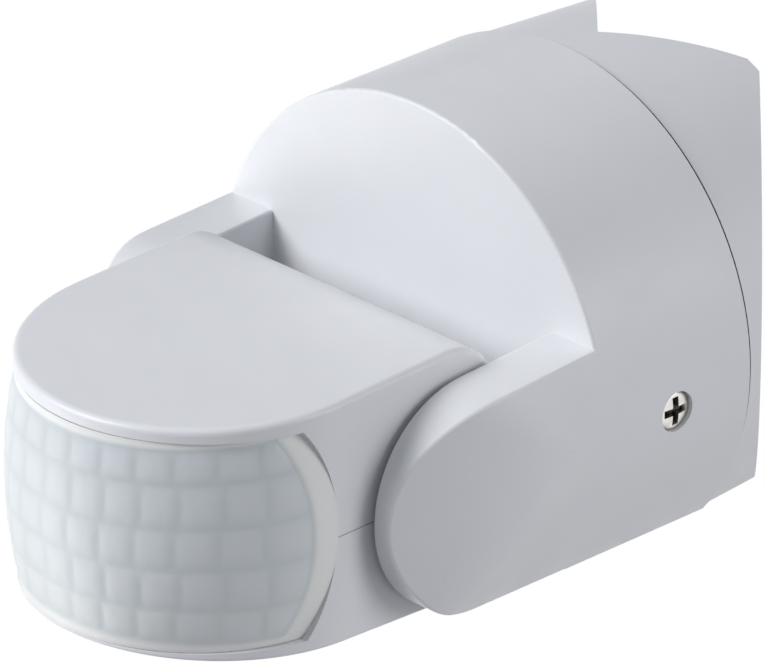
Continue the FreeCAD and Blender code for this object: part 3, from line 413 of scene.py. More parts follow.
@dataclass(frozen=True)
class CappedGlass(Finish):
    """A glass fuse: clear tube between nickel-plated caps, held in plated clips."""

    glass: str = "#E8F0EE"
    metal: str = "#C9CACC"
    middle_x_mm: float = 12.0
    glass_half_mm: float = 5.0

    def shader(self, tree: bpy.types.NodeTree, place: bpy.types.NodeSocket) -> bpy.types.NodeSocket:
        """Builds glass in the middle and metal at both ends."""
        moved = add_node(tree, "ShaderNodeMapping", {}, {"Location": (-self.middle_x_mm * MM, 0.0, 0.0)},
                         {"Vector": place})
        apart = add_node(tree, "ShaderNodeSeparateXYZ", {}, {}, {"Vector": moved.outputs["Vector"]})
        away = add_node(tree, "ShaderNodeMath", {"operation": "ABSOLUTE"}, {}, {0: apart.outputs["X"]})
        on_cap = add_node(tree, "ShaderNodeMath", {"operation": "GREATER_THAN"},
                          {1: self.glass_half_mm * MM}, {0: away.outputs["Value"]})
        scuff = noise(tree, place, 0.8, 4.0)
        gloss = add_node(tree, "ShaderNodeMapRange", {}, {"To Min": 0.12, "To Max": 0.4},
                         {"Value": scuff.outputs["Fac"]})
        metal = add_node(tree, "ShaderNodeBsdfPrincipled", {},
                         {"Base Color": linear(self.metal), "Metallic": 1.0},
                         {"Roughness": gloss.outputs["Result"]})
        glass = add_node(tree, "ShaderNodeBsdfPrincipled", {},
                         {"Base Color": linear(self.glass), "Roughness": 0.03, "IOR": 1.47,
                          "Transmission Weight": 0.9})
        both = add_node(tree, "ShaderNodeMixShader", {}, {},
                        {0: on_cap.outputs["Value"], 1: glass.outputs["BSDF"], 2: metal.outputs["BSDF"]})
        return both.outputs["Shader"]


@dataclass(frozen=True)
class WireInsulation(Finish):
    """Soft PVC insulation, one colour for each of three wires stacked along Z."""

    low: str = "#2E6DB4"
    middle: str = "#E2C43A"
    high: str = "#7A4A2B"
    middle_z_mm: float = 0.0
    pitch_mm: float = 8.0

    def shader(self, tree: bpy.types.NodeTree, place: bpy.types.NodeSocket) -> bpy.types.NodeSocket:
        """Builds the three colours by height, with a slightly waxy surface."""
        apart = add_node(tree, "ShaderNodeSeparateXYZ", {}, {}, {"Vector": place})
        half = self.pitch_mm / 2
        above = [
            add_node(tree, "ShaderNodeMath", {"operation": "GREATER_THAN"},
                     {1: (self.middle_z_mm + edge) * MM}, {0: apart.outputs["Z"]}).outputs["Value"]
            for edge in (-half, half)
        ]
        lower = blend(tree, self.low, self.middle, above[0])
        tint = add_node(tree, "ShaderNodeMix", {"data_type": "RGBA"}, {"B": linear(self.high)},
                        {"Factor": above[1], "A": lower.outputs["Result"]})
        wax = noise(tree, place, 0.9, 4.0)
        gloss = add_node(tree, "ShaderNodeMapRange", {}, {"To Min": 0.32, "To Max": 0.5},
                         {"Value": wax.outputs["Fac"]})
        bump = bumped(tree, 0.4, 0.015, wax.outputs["Fac"])
        sheath = add_node(tree, "ShaderNodeBsdfPrincipled", {}, {"IOR": 1.53},
                          {"Base Color": tint.outputs["Result"], "Roughness": gloss.outputs["Result"],
                           "Normal": bump.outputs["Normal"]})
        return sheath.outputs["BSDF"]


@dataclass(frozen=True)
class SulphideCell(Finish):
    """A light cell: a cream ceramic disc with a rust-red sulphide track wound across it."""

    ceramic: str = "#D9CDB4"
    track: str = "#A3402A"
    pitch_mm: float = 0.9

    def shader(self, tree: bpy.types.NodeTree, place: bpy.types.NodeSocket) -> bpy.types.NodeSocket:
        """Builds the winding track as bands under a clear epoxy coat."""
        bands = add_node(tree, "ShaderNodeTexWave", {"bands_direction": "X", "wave_profile": "TRI"},
                         {"Scale": wave_scale(self.pitch_mm), "Distortion": 1.2, "Detail": 0.0,
                          "Detail Scale": 400.0},
                         {"Vector": place})
        on_track = add_node(tree, "ShaderNodeMapRange", {}, {"From Min": 0.45, "From Max": 0.55},
                            {"Value": bands.outputs["Fac"]})
        tint = blend(tree, self.ceramic, self.track, on_track.outputs["Result"])
        cell = add_node(tree, "ShaderNodeBsdfPrincipled", {},
                        {"Roughness": 0.4, "Coat Weight": 0.8, "Coat Roughness": 0.05, "Coat IOR": 1.5},
                        {"Base Color": tint.outputs["Result"]})
        return cell.outputs["BSDF"]


@dataclass(frozen=True)
class TintedResin(Finish):
    """A clear cast resin or optical filter with its own tint and a few fine scratches."""

    colour: str = "#B3261E"
    roughness: float = 0.14
    passes_light: float = 0.5
    ior: float = 1.54

    def shader(self, tree: bpy.types.NodeTree, place: bpy.types.NodeSocket) -> bpy.types.NodeSocket:
        """Builds a tinted, partly clear body with an uneven polish."""
        streak = noise(tree, place, 0.7, 5.0)
        gloss = add_node(tree, "ShaderNodeMapRange", {},
                         {"To Min": self.roughness * 0.6, "To Max": self.roughness * 1.6},
                         {"Value": streak.outputs["Fac"]})
        resin = add_node(tree, "ShaderNodeBsdfPrincipled", {},
                         {"Base Color": linear(self.colour), "IOR": self.ior,
                          "Transmission Weight": self.passes_light},
                         {"Roughness": gloss.outputs["Result"]})
        return resin.outputs["BSDF"]


# ABS with a fine eroded grain: white with a cool cast, satin, no sharp reflections.
BODY_ABS = MouldedPlastic("abs_white_eroded_satin", "body_plastic")
# The same ABS in the head, from a mould with a slightly closer grain, so a little glossier.
HEAD_ABS = MouldedPlastic("abs_white_fine_satin", "head_plastic", roughness=0.38, grain_mm=0.3, cloud_mm=11.0)
# High-density polyethylene, pressed thin: milky, slightly waxy, greyer where it is thin, with painted shade in
# the grooves between segments and on the upper rows.
LENS_HDPE = LensPolyethylene("polyethylene_milky_lens", "lens_plastic")
# Acetal, moulded: natural white, slippery, a little translucent at its edges.
PIVOT_ACETAL = MouldedPlastic("acetal_natural_moulded", "pivot_plastic", "#E4E3DC", "#DCDAD2", 0.33, 0.05,
                              6.0, 0.4, 0.006, 1.48, 0.6)
# EPDM sponge cut to a flat ring: near-black and quite matt.
SEAL_EPDM = MouldedRubber("epdm_black_seal", "seal_rubber")
# TPE, moulded: mid grey, softer sheen than rubber.
ENTRY_TPE = MouldedRubber("tpe_grey_moulded", "grey_rubber", "#8F9396", "#A6A9AB", 0.6, 0.4)
# Steel with bright zinc plating: silvery, with fine turning marks and a mottled passivation.
SCREW_ZINC = WorkedMetal("steel_bright_zinc_plated", "screw_steel", "#E4E2DC", "#CBCAC4", 0.28)
# Spring steel, blued and oiled: dark grey, drawn.
CLIP_SPRING = WorkedMetal("steel_spring_blued", "clip_steel", "#6E7175", "#54575C", 0.32)
# Brass, extruded and cut: yellow, lightly tarnished.
TERMINAL_BRASS = WorkedMetal("brass_extruded", "terminal_brass", "#D8B35C", "#B08D45", 0.28)
# Polyamide, moulded: slightly yellow white, semi-matt.
TERMINAL_NYLON = MouldedPlastic("polyamide_natural", "terminal_plastic", "#DAD7CB", "#CFCBBD", 0.45, 0.06,
                                8.0, 0.4, 0.01, 1.53)
# Polypropylene, moulded: light grey, a little waxy.
CLAMP_POLYPROPYLENE = MouldedPlastic("polypropylene_grey", "clamp_plastic", "#A9ADB1", "#9EA2A6", 0.4, 0.06,
                                     9.0, 0.5, 0.01, 1.49)
# Glass-epoxy laminate under a green solder mask: glossy, with the weave just showing.
BOARD_FR4 = BoardLaminate("glass_epoxy_green_mask", "board_laminate")
# PBT, glass-filled and moulded: deep blue, matt with a coarse grain.
RELAY_PBT = MouldedPlastic("pbt_blue_filled", "relay_plastic", "#1F4E8C", "#1A437A", 0.5, 0.08,
                           5.0, 0.5, 0.02)
# Epoxy-potted polypropylene film: yellow box, satin.
CAPACITOR_BOX = MouldedPlastic("film_capacitor_yellow_box", "capacitor_film", "#D8AE2E", "#CB9F22", 0.4, 0.06,
                               5.0, 0.6, 0.02)
# Aluminium can in a shrunk PVC sleeve: near-black with a pale stripe, bare at its end.
CAPACITOR_CAN = SilverCan("capacitor_sleeved_can", "capacitor_sleeve")
# Epoxy dip on a zinc-oxide disc: blue with a rounded orange-peel skin.
VARISTOR_DIP = MouldedPlastic("epoxy_dip_blue", "varistor_coat", "#2766A8", "#1F5891", 0.34, 0.08, 3.0, 0.9,
                              0.06)
# Glass tube with nickel-plated caps: clear between two bright ends.
FUSE_TUBE = CappedGlass("glass_fuse_nickel_caps", "fuse_glass")
# PVC insulation, extruded: blue, yellow and brown, slightly waxy.
SUPPLY_PVC = WireInsulation("pvc_supply_wires", "wire_plastic")
# The same insulation on the thin wires to the head: black, grey and red.
HEAD_PVC = WireInsulation("pvc_signal_wires", "wire_plastic", "#2B2D30", "#C8CBCE", "#B5342B", -5.35, 1.3)
# Nickel-plated steel, deep drawn: bright, slightly warm.
SENSOR_NICKEL = WorkedMetal("steel_nickel_drawn", "sensor_can", "#D2CFC8", "#BDB9B0", 0.2, along=Axis.Y)
# Coated silicon: nearly black, polished.
FILTER_SILICON = TintedResin("silicon_coated_filter", "sensor_filter", "#2B2533", 0.08, 0.0, 2.2)
# Epoxy, cast and dyed: red diffused lamp.
LAMP_EPOXY = TintedResin("epoxy_red_diffused", "lamp_plastic", "#C2332B", 0.2, 0.45)
# Cadmium sulphide on ceramic under clear epoxy: a rust-red track on cream.
CELL_SULPHIDE = SulphideCell("cadmium_sulphide_cell", "cell_face")
# PBT with a metal-grey tone, moulded: the adjusters' bodies.
POT_PBT = MouldedPlastic("pbt_grey_blue", "pot_plastic", "#3F5F86", "#385678", 0.45, 0.07, 3.0, 0.4, 0.015)
# Acetal, dyed light grey: the adjusters' knobs, so that they show against the white head.
KNOB_ACETAL = MouldedPlastic("acetal_light_grey", "knob_plastic", "#C3C6C9", "#B9BCC0", 0.38, 0.05, 5.0, 0.4,
                             0.01, 1.48)


# ---------------------------------------------------------------- meshes
def is_sharp(edge: BMEdge, angle: float) -> bool:
    """Tells whether an edge's two faces meet at more than the angle, in degrees."""
    return len(edge.link_faces) == 2 and edge.calc_face_angle(0.0) > math.radians(angle)


def soften(bm: BMesh, edges: Sequence[BMEdge], width_mm: float, segments: int = 2) -> None:
    """Bevels edges to a small round.

    Args:
        bm: the mesh.
        edges: the edges to round.
        width_mm: how far the round reaches along each face.
        segments: the number of faces across the round.
    """
    bmesh.ops.bevel(bm, geom=list(edges), offset=width_mm * MM, offset_type="OFFSET", segments=segments,
                    profile=0.5, affect="EDGES", material=-1, clamp_overlap=True)


def finished_piece(
    bm: BMesh, name: str, body: str, finish: Finish, replaces: Sequence[str] = (),
) -> bpy.types.Object:
    """Turns a mesh in world place into a piece that rides on a body.

    Args:
        bm: the mesh, in metres, where the piece belongs. It is freed here.
        name: the piece's name.
        body: the moving body that carries it.
        finish: its finish.
        replaces: the plain parts that it stands for.

    Returns:
        The new object.
    """
    for edge in bm.edges:
        edge.smooth = not is_sharp(edge, SMOOTH_DEGREES)
    for face in bm.faces:
        face.smooth = True
    mesh = bpy.data.meshes.new(name)
    bm.to_mesh(mesh)
    bm.free()
    piece = bpy.data.objects.new(name, mesh)
    bpy.context.scene.collection.objects.link(piece)
    mesh.materials.append(finish.material())
    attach(piece, body)
    if replaces:
        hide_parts(*replaces)
    log.info("piece %s: %d faces on %s", name, len(mesh.polygons), body)
    return piece


@dataclass
class SubAssembly:
    """A group of pieces: the carried-over parts with their finishes, and the pieces modelled here."""

    finishes: dict[str, Finish] = field(default_factory=dict)

    def dress(self) -> None:
        """Gives each carried-over part its finish."""
        for node, finish in self.finishes.items():
            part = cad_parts[node]
            part.data.materials.clear()
            part.data.materials.append(finish.material())
            log.info("part %s: %s", node, finish.name)

    def model(self) -> list[bpy.types.Object]:
        """Models the group's own pieces. A group with none hands back an empty list."""
        return []


@dataclass
class CrossScrew:
    """A cross-recessed screw, modelled about +Z with its seat at Z = 0."""

    head_radius: float
    head_height: float
    shank_radius: float
    shank_length: float
    rim_height: float = 0.35
    wing_share: float = 0.66
    slot_share: float = 0.13
    depth_share: float = 0.78
    end_rise: float = 0.45
    taper: float = 0.86
    crown_steps: int = 8
    facets: int = 64
    rim_degrees: int = 50
    rim_round_mm: float = 0.04

    def profile(self) -> list[tuple[float, float]]:
        """Gives the screw's half section.

        Returns:
            Radius and height of each point, from the crown to the tip, in millimetres.
        """
        rise = self.head_height - self.rim_height
        points = [(0.0, self.head_height)]
        for step in range(1, self.crown_steps + 1):
            turn = math.radians(step * 90 / self.crown_steps)
            points.append((self.head_radius * math.sin(turn), self.rim_height + rise * math.cos(turn)))
        points += [(self.head_radius, 0.0), (self.shank_radius, 0.0)]
        points += [(self.shank_radius, self.shank_radius - self.shank_length), (0.0, -self.shank_length)]
        return points

    def cut_cross(self, bm: BMesh) -> None:
        """Sinks a tapered cross into the crown and marks its floor in the recess attribute, where the metal's
        shader paints shade.

        Args:
            bm: the turned screw, in millimetres about +Z.
        """
        half = self.slot_share * self.head_radius
        reach = self.wing_share * self.head_radius
        for normal in (Vector((1, 0, 0)), Vector((0, 1, 0))):
            for offset in (-reach, -half, half, reach):
                crown = [face for face in bm.faces if face.calc_center_median().z > self.rim_height]
                edges = {edge for face in crown for edge in face.edges}
                verts = {vert for face in crown for vert in face.verts}
                bmesh.ops.bisect_plane(bm, geom=[*verts, *edges, *crown], dist=1e-5, plane_co=normal * offset,
                                       plane_no=normal)
        inside = []
        for face in bm.faces:
            middle = face.calc_center_median()
            narrow, wide = sorted((abs(middle.x), abs(middle.y)))
            if middle.z > self.rim_height and narrow < half and wide < reach:
                inside.append(face)
        recess = bm.verts.layers.float["recess"]
        sunk = bmesh.ops.extrude_face_region(bm, geom=inside)
        bmesh.ops.delete(bm, geom=[face for face in inside if face.is_valid], context="FACES")
        depth = self.depth_share * self.head_height
        for vert in (item for item in sunk["geom"] if isinstance(item, BMVert)):
            out = math.hypot(vert.co.x, vert.co.y) / reach
            vert.co.z -= depth * (1.0 - self.end_rise * min(out, 1.0))
            vert[recess] = 1.0
            vert.co.x *= self.taper
            vert.co.y *= self.taper

    def mesh(self, place: Vector, direction: Vector) -> BMesh:
        """Turns the screw, cuts its cross and puts it in place.

        Args:
            place: the middle of its seat, in metres.
            direction: the way its head points.

        Returns:
            The screw's mesh in metres.
        """
        bm = bmesh.new()
        bm.verts.layers.float.new("recess")
        verts = [bm.verts.new((radius, 0.0, height)) for radius, height in self.profile()]
        edges = [bm.edges.new(pair) for pair in zip(verts, verts[1:])]
        bmesh.ops.spin(bm, geom=[*verts, *edges], cent=(0, 0, 0), axis=(0, 0, 1), angle=math.tau,
                       steps=self.facets, use_merge=True, use_duplicate=False)
        bmesh.ops.remove_doubles(bm, verts=bm.verts, dist=WELD_MM)
        self.cut_cross(bm)
        bmesh.ops.remove_doubles(bm, verts=bm.verts, dist=WELD_MM)
        bmesh.ops.recalc_face_normals(bm, faces=bm.faces)
        rims = [edge for edge in bm.edges
                if max(vert.co.z for vert in edge.verts) < WELD_MM and is_sharp(edge, self.rim_degrees)]
        turn = direction.to_track_quat("Z", "Y").to_matrix().to_4x4()
        bm.transform(Matrix.Translation(place) @ turn @ Matrix.Scale(MM, 4))
        soften(bm, rims, self.rim_round_mm)
        return bm


# ---------------------------------------------------------------- the fixed half
@dataclass
class WallBase(SubAssembly):
    """The tapered base on the wall, with its seal, cable entries and terminals."""

    finishes: dict[str, Finish] = field(default_factory=lambda: {
        "wall_base": BODY_ABS,
        "base_gasket": SEAL_EPDM,
        "cable_grommet": ENTRY_TPE,
        "entry_plug": ENTRY_TPE,
        "terminal_block": TERMINAL_NYLON,
        "terminal_clamps": TERMINAL_BRASS,
        "terminal_screws": SCREW_ZINC,
        "cable_clamp": CLAMP_POLYPROPYLENE,
        "cable_clamp_screws": SCREW_ZINC,
    })


@dataclass
class RoundBody(SubAssembly):
    """The round body with its two arms and the supply electronics behind its face."""

    screw_head_radius: float = 2.88
    screw_head_height: float = 1.7
    screw_rim_height: float = 1.2
    screw_shank_radius: float = 1.5
    screw_length: float = 9.0
    finishes: dict[str, Finish] = field(default_factory=lambda: {
        "main_housing": BODY_ABS,
        "power_board": BOARD_FR4,
        "board_screws": SCREW_ZINC,
        "relay": RELAY_PBT,
        "film_capacitor": CAPACITOR_BOX,
        "electrolytic_capacitor": CAPACITOR_CAN,
        "varistor": VARISTOR_DIP,
        "fuse": FUSE_TUBE,
        "link_wires": SUPPLY_PVC,
        "arm_wires": HEAD_PVC,
    })

    def model(self) -> list[bpy.types.Object]:
        """Models the two side screws in their recesses."""
        pieces = []
        screw = CrossScrew(self.screw_head_radius, self.screw_head_height, self.screw_shank_radius,
                           self.screw_length, self.screw_rim_height, wing_share=0.74, slot_share=0.2)
        for side in Side:
            node = f"housing_screw_{side.name.lower()}"
            low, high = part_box(node)
            tip_x = low.x if side is Side.RIGHT else high.x
            seat = Vector((tip_x + side.value * self.screw_length * MM, (low.y + high.y) / 2,
                           (low.z + high.z) / 2))
            mesh = screw.mesh(seat, Vector((side.value, 0, 0)))
            name = f"side_screw_{side.name.lower()}"
            pieces.append(finished_piece(mesh, name, "housing", SCREW_ZINC, [node]))
        return pieces


# ---------------------------------------------------------------- the tilting half
@dataclass
class Pivots(SubAssembly):
    """The bushes, clips and friction rings on both sides of the head."""

    finishes: dict[str, Finish] = field(default_factory=lambda: {
        **{f"pivot_bush_{side.name.lower()}": PIVOT_ACETAL for side in Side},
        **{f"pivot_clip_{side.name.lower()}": CLIP_SPRING for side in Side},
        **{f"friction_ring_{side.name.lower()}": SEAL_EPDM for side in Side},
    })


@dataclass
class SegmentedLens:
    """The bulged lens: five rows of pillowed segments inside a plain border, in millimetres.

    Heights are along Z and turns are degrees about the lens's upright axis, from straight ahead.
    """

    axis_y: float = -94.0
    middle_radius: float = 27.18
    middle_z: float = -4.0
    edge_sag: float = 1.9
    half_height: float = 16.4
    thickness: float = 1.2
    low_z: float = -19.7
    high_z: float = 12.3
    window_y: float = -119.6
    window_radius: float = 26.4
    column_turns: tuple[float, ...] = (
        -67.0, -53.9, -40.5, -28.6, -17.2, -5.7, 5.7, 17.2, 28.6, 40.5, 53.9, 67.0,
    )
    row_edges: tuple[float, ...] = (-17.9, -12.8, -6.5, -0.3, 6.2, 10.9)
    # For each row, from the lowest up, how much of the segments' grey it takes over the milky tone: painted
    # shade, darkest on the top row under the head's roof.
    row_painted_shade: tuple[float, ...] = (0.72, 0.8, 0.86, 0.92, 1.0)
    row_shift: float = 0.9
    row_fan: float = 0.06
    border_mm: float = 4.4
    pillow_mm: float = 0.14
    cuts_across: int = 12
    cuts_up: int = 12
    border_cuts: int = 6
    corner_power: int = 4
    dome_power: float = 2.6

    def radius_at(self, z: float) -> float:
        """Gives the outer radius of the barrel at a height."""
        bulge = (self.half_height ** 2 + self.edge_sag ** 2) / (2 * self.edge_sag)
        return self.middle_radius - bulge + math.sqrt(bulge ** 2 - (z - self.middle_z) ** 2)

    def edge_turn(self, z: float) -> float:
        """Gives the turn, in degrees, at which the window's arc ends the lens at a height."""
        arc_y = self.window_y + math.sqrt(self.window_radius ** 2 - (z - self.middle_z) ** 2)
        return math.degrees(math.acos((self.axis_y - arc_y) / self.radius_at(z)))

    def stations_up(self) -> list[tuple[float, float]]:
        """Lists the grid's heights.

        Returns:
            Height in millimetres, and the place in the row from -1 to 1, or 2 outside the rows.
        """
        stations = [(self.low_z, 2.0), ((self.low_z + self.row_edges[0]) / 2, 2.0)]
        for low, high in zip(self.row_edges, self.row_edges[1:]):
            for cut in range(self.cuts_up):
                share = cut / self.cuts_up
                stations.append((low + (high - low) * share, 2 * share - 1))
        stations.append((self.row_edges[-1], 1.0))
        stations += [((self.high_z + self.row_edges[-1]) / 2, 2.0), (self.high_z, 2.0)]
        return stations

    def stations_across(self, z: float, row: int) -> list[tuple[float, float]]:
        """Lists the grid's turns at a height.

        Args:
            z: the height in millimetres.
            row: the row that the height is in; odd rows are shifted a little.

        Returns:
            Turn in degrees, and the place in the column from -1 to 1, or 2 on the border.
        """
        edge = self.edge_turn(z)
        inner = edge - math.degrees(self.border_mm / self.radius_at(z))
        shift = self.row_shift if row % 2 else -self.row_shift
        turns = [-inner] + [turn + shift for turn in self.column_turns] + [inner]
        stations = [(-edge + (edge - inner) * cut / self.border_cuts, 2.0) for cut in range(self.border_cuts)]
        for low, high in zip(turns, turns[1:]):
            for cut in range(self.cuts_across):
                share = cut / self.cuts_across
                stations.append((low + (high - low) * share, 2 * share - 1))
        stations.append((inner, 1.0))
        stations += [(inner + (edge - inner) * cut / self.border_cuts, 2.0)
                     for cut in range(1, self.border_cuts + 1)]
        return stations

    def fanned(self, z: float, turn: float) -> float:
        """Spreads the rows a little towards the lens's sides and leaves its upper and lower ends alone.

        Args:
            z: the height straight ahead, in millimetres.
            turn: the turn from straight ahead, in degrees.

        Returns:
            The height at that turn.
        """
        inner = min(max(z, self.row_edges[0]), self.row_edges[-1])
        end = self.high_z if z > self.middle_z else self.low_z
        share = (end - z) / (end - inner)
        return z + share * (inner - self.middle_z) * self.row_fan * (1.0 - math.cos(math.radians(turn)))

    def row_of(self, z: float) -> int:
        """Gives the number of the row that a height is in."""
        return sum(1 for edge in self.row_edges[1:-1] if z >= edge - 1e-6)

    def crown(self, across: float, up: float) -> float:
        """Gives how far into a segment a point is: 1 in the middle, 0 on its rounded edge."""
        if max(abs(across), abs(up)) > 1.0:
            return 0.0
        away = (abs(across) ** self.corner_power + abs(up) ** self.corner_power) ** (1 / self.corner_power)
        return max(0.0, 1.0 - away ** self.dome_power)

    def mesh(self) -> tuple[BMesh, list[tuple[float, float]]]:
        """Bends a flat grid round the lens's axis, pillows its segments and gives it a wall.

        Returns:
            The mesh in metres; its vertices carry how far into a segment they are, and a segment value that holds
            painted shade by row.
        """
        heights = self.stations_up()
        columns = len(self.stations_across(0.0, 0)) - 1
        rows = len(heights) - 1
        bm = bmesh.new()
        bmesh.ops.create_grid(bm, x_segments=columns, y_segments=rows, size=0.5)
        segment = bm.verts.layers.float.new("segment")
        middle = bm.verts.layers.float.new("segment_middle")
        tables = [self.stations_across(z, self.row_of(z)) for z, _ in heights]
        for vert in bm.verts:
            column = round((vert.co.x + 0.5) * columns)
            line = round((vert.co.y + 0.5) * rows)
            z, up = heights[line]
            turn, across = tables[line][column]
            crown = self.crown(across, up)
            in_segment = float(abs(across) <= 1.0 and abs(up) <= 1.0)
            height = self.fanned(z, turn)
            radius = self.radius_at(height) - self.pillow_mm * (in_segment - crown)
            angle = math.radians(turn)
            # Painted shade: each row's value makes the upper rows greyer.
            vert[segment] = in_segment * self.row_painted_shade[self.row_of(z)]
            vert[middle] = crown
            vert.co = Vector((radius * math.sin(angle), self.axis_y - radius * math.cos(angle), height))
        bmesh.ops.recalc_face_normals(bm, faces=bm.faces)
        ahead = min(bm.faces, key=lambda face: face.calc_center_median().y)
        if ahead.normal.y > 0:
            bmesh.ops.reverse_faces(bm, faces=bm.faces)
        bmesh.ops.solidify(bm, geom=bm.faces, thickness=self.thickness - self.pillow_mm)
        bm.transform(Matrix.Scale(MM, 4))
        return bm

    def piece(self) -> bpy.types.Object:
        """Makes the lens as a piece on the head."""
        bm = self.mesh()
        return finished_piece(bm, "segmented_lens", "head", LENS_HDPE, ["fresnel_lens"])


@dataclass
class AdjusterScales:
    """Raised marks round the three adjusters under the head: short bars every 45 degrees, in millimetres."""

    knob_pitch: float = 13.0
    knob_y: float = -80.0
    face_y: float = -53.0
    underside_z: float = -24.07
    underside_slope: float = 0.0534
    inner_radius: float = 4.6
    mark_width: float = 0.35
    mark_height: float = 0.5
    stands_out: float = 0.18
    long_mark: float = 1.5
    short_mark: float = 0.9
    sweep: int = 135
    step: int = 45
    mark_round: float = 0.06

    def underside_at(self, y: float) -> float:
        """Gives the height of the head's sloping underside at a depth."""
        return self.underside_z + self.underside_slope * (self.face_y - y)

    def piece(self) -> bpy.types.Object:
        """Makes all the marks as one moulded piece on the head."""
        bm = bmesh.new()
        for column in (-1, 0, 1):
            for angle in range(-self.sweep, self.sweep + 1, self.step):
                length = self.long_mark if angle % self.sweep == 0 else self.short_mark
                turn = math.radians(angle)
                out = self.inner_radius + length / 2
                x = column * self.knob_pitch + out * math.sin(turn)
                y = self.knob_y - out * math.cos(turn)
                z = self.underside_at(y) + self.mark_height / 2 - self.stands_out
                bar = bmesh.ops.create_cube(bm, size=1.0)
                size = Matrix.Diagonal((self.mark_width, length, self.mark_height, 1.0))
                spot = Matrix.Translation((x, y, z)) @ Matrix.Rotation(turn, 4, "Z")
                bmesh.ops.transform(bm, matrix=spot @ size, verts=bar["verts"])
        bm.transform(Matrix.Scale(MM, 4))
        soften(bm, bm.edges, self.mark_round)
        return finished_piece(bm, "adjuster_scales", "head", HEAD_ABS)


@dataclass
class TiltingHead(SubAssembly):
    """The tilting head: its shells, lens, sensing parts, adjusters and screws."""

    lens: SegmentedLens = field(default_factory=SegmentedLens)
    scales: AdjusterScales = field(default_factory=AdjusterScales)
    screw_seat_z: float = -18.0
    screw_length: float = 18.5
    screw_head_radius: float = 1.9
    screw_head_height: float = 1.2
    screw_rim_height: float = 0.3
    screw_shank_radius: float = 1.0
    screw_columns: tuple[tuple[float, float], ...] = (
        (-19.5, -93.5), (19.5, -93.5), (-13.0, -67.5), (13.0, -67.5),
    )
    finishes: dict[str, Finish] = field(default_factory=lambda: {
        "head_top_shell": HEAD_ABS,
        "head_bottom_shell": HEAD_ABS,
        "lens_retainer": CLAMP_POLYPROPYLENE,
        "sensor_board": BOARD_FR4,
        "pir_element": SENSOR_NICKEL,
        "pir_filter": FILTER_SILICON,
        "status_led": LAMP_EPOXY,
        "photocell": CELL_SULPHIDE,
        "control_board": BOARD_FR4,
        "potentiometers": POT_PBT,
        "time_knob": KNOB_ACETAL,
        "light_knob": KNOB_ACETAL,
        "range_knob": KNOB_ACETAL,
        "head_wires": HEAD_PVC,
    })

    def head_screws(self) -> bpy.types.Object:
        """Makes the four screws that close the head from below."""
        screw = CrossScrew(self.screw_head_radius, self.screw_head_height, self.screw_shank_radius,
                           self.screw_length, self.screw_rim_height)
        all_screws = bmesh.new()
        for x, y in self.screw_columns:
            one = screw.mesh(Vector((x, y, self.screw_seat_z)) * MM, Vector((0, 0, -1)))
            spare = bpy.data.meshes.new("head_screw")
            one.to_mesh(spare)
            one.free()
            all_screws.from_mesh(spare)
            bpy.data.meshes.remove(spare)
        return finished_piece(all_screws, "head_screw_set", "head", SCREW_ZINC, ["head_screws"])

    def model(self) -> list[bpy.types.Object]:
        """Models the lens, the scales round the adjusters and the head's screws."""
        return [self.lens.piece(), self.scales.piece(), self.head_screws()]


# ---------------------------------------------------------------- studio
@dataclass(frozen=True)
class SoftLight:
    """A large soft lamp: where it stands and what it points at, in metres."""

    name: str
    place: tuple[float, float, float]
    size: float
    power: float
    colour: str

    def build(self, target: Vector) -> bpy.types.Object:
        """Makes the lamp.

        Args:
            target: the point it is aimed at.

        Returns:
            The lamp.
        """
        lamp = bpy.data.lights.new(self.name, "AREA")
        lamp.shape = "DISK"
        lamp.size = self.size
        lamp.energy = self.power
        lamp.color = linear(self.colour)[:3]
        stand = bpy.data.objects.new(self.name, lamp)
        stand.location = self.place
        stand.rotation_mode = "QUATERNION"
        stand.rotation_quaternion = (target - Vector(self.place)).to_track_quat("-Z", "Y")
        bpy.context.scene.collection.objects.link(stand)
        return stand


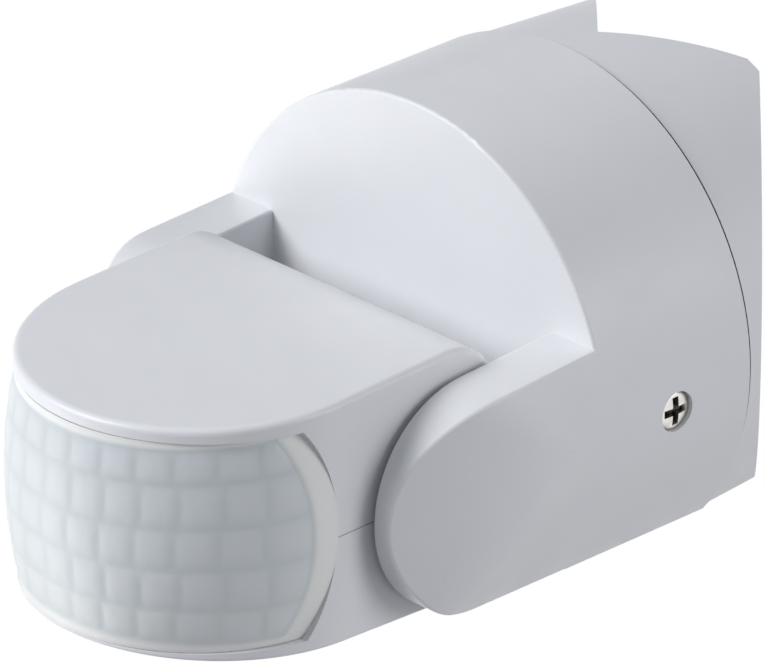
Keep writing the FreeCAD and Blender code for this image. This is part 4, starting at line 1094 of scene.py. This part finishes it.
@dataclass
class Studio:
    """The camera, the pale floor and the soft light."""

    azimuth: float = 45.704
    elevation: float = 25.841
    lens_mm: float = 368.3
    distance_mm: float = 1113.9
    aside_mm: float = -3.78
    lift_mm: float = 2.60
    aim_mm: tuple[float, float, float] = (0.0, -53.0, 0.0)
    floor_drop: float = 1.2
    floor_size: float = 60.0
    sky: str = "#F0F4FF"
    sky_strength: float = 0.27
    lamps: tuple[SoftLight, ...] = (
        SoftLight("key_light", (-0.85, -1.35, 1.05), 1.1, 31.8, "#FBFCFF"),
        SoftLight("back_light", (1.9, 0.9, 0.7), 1.4, 19.2, "#FDFDFF"),
        SoftLight("low_light", (-0.9, -1.0, -0.9), 1.2, 6.2, "#FDFEFF"),
    )

    def camera(self) -> bpy.types.Object:
        """Makes the camera at the viewing angle and makes it the scene's own."""
        turn, rise = math.radians(self.azimuth), math.radians(self.elevation)
        back = Vector((math.sin(turn) * math.cos(rise), -math.cos(turn) * math.cos(rise), math.sin(rise)))
        right = Vector((math.cos(turn), math.sin(turn), 0.0))
        up = back.cross(right)
        offset = back * self.distance_mm + right * self.aside_mm + up * self.lift_mm
        view = bpy.data.cameras.new("camera")
        view.lens = self.lens_mm
        view.sensor_width = 36.0
        view.clip_start, view.clip_end = 0.05, 200.0
        eye = bpy.data.objects.new("camera", view)
        eye.location = (Vector(self.aim_mm) + offset) * MM
        eye.rotation_mode = "QUATERNION"
        eye.rotation_quaternion = (-back).to_track_quat("-Z", "Y")
        bpy.context.scene.collection.objects.link(eye)
        bpy.context.scene.camera = eye
        return eye

    def floor(self) -> bpy.types.Object:
        """Makes a plain white floor well below the object, bright enough to read as a white ground."""
        bm = bmesh.new()
        bmesh.ops.create_grid(bm, x_segments=1, y_segments=1, size=self.floor_size / 2)
        bmesh.ops.translate(bm, vec=(0, 0, -self.floor_drop), verts=bm.verts)
        mesh = bpy.data.meshes.new("studio_floor")
        bm.to_mesh(mesh)
        bm.free()
        ground = bpy.data.objects.new("studio_floor", mesh)
        bpy.context.scene.collection.objects.link(ground)
        paper = bpy.data.materials.new("white_studio_paper")
        paper.use_nodes = True
        tree = paper.node_tree
        tree.nodes.clear()
        glow = add_node(tree, "ShaderNodeEmission", {}, {"Color": linear("#FFFFFF"), "Strength": 1.0})
        add_node(tree, "ShaderNodeOutputMaterial", {}, {}, {"Surface": glow.outputs["Emission"]})
        mesh.materials.append(paper)
        ground.visible_diffuse = False
        ground.visible_shadow = False
        return ground

    def light(self) -> None:
        """Makes the soft surrounding light and the lamps."""
        world = bpy.data.worlds.new("studio")
        world.use_nodes = True
        tree = world.node_tree
        tree.nodes.clear()
        sky = add_node(tree, "ShaderNodeBackground", {},
                       {"Color": linear(self.sky), "Strength": self.sky_strength})
        add_node(tree, "ShaderNodeOutputWorld", {}, {}, {"Surface": sky.outputs["Background"]})
        bpy.context.scene.world = world
        target = Vector(self.aim_mm) * MM
        for lamp in self.lamps:
            lamp.build(target)

    def build(self) -> None:
        """Sets up the view, the ground and the light."""
        self.camera()
        self.floor()
        self.light()
        bpy.context.scene.view_settings.view_transform = "Standard"
        bpy.context.scene.view_settings.look = "None"
        log.info("studio: camera, floor and %d lamps", len(self.lamps))


def main() -> None:
    """Builds the studio and every sub-assembly, in order."""
    Studio().build()
    assemblies: list[SubAssembly] = [WallBase(), RoundBody(), Pivots(), TiltingHead()]
    for assembly in assemblies:
        assembly.dress()
        made = assembly.model()
        log.info("%s: %d parts, %d new pieces", type(assembly).__name__, len(assembly.finishes), len(made))


if __name__ == "__main__":
    main()
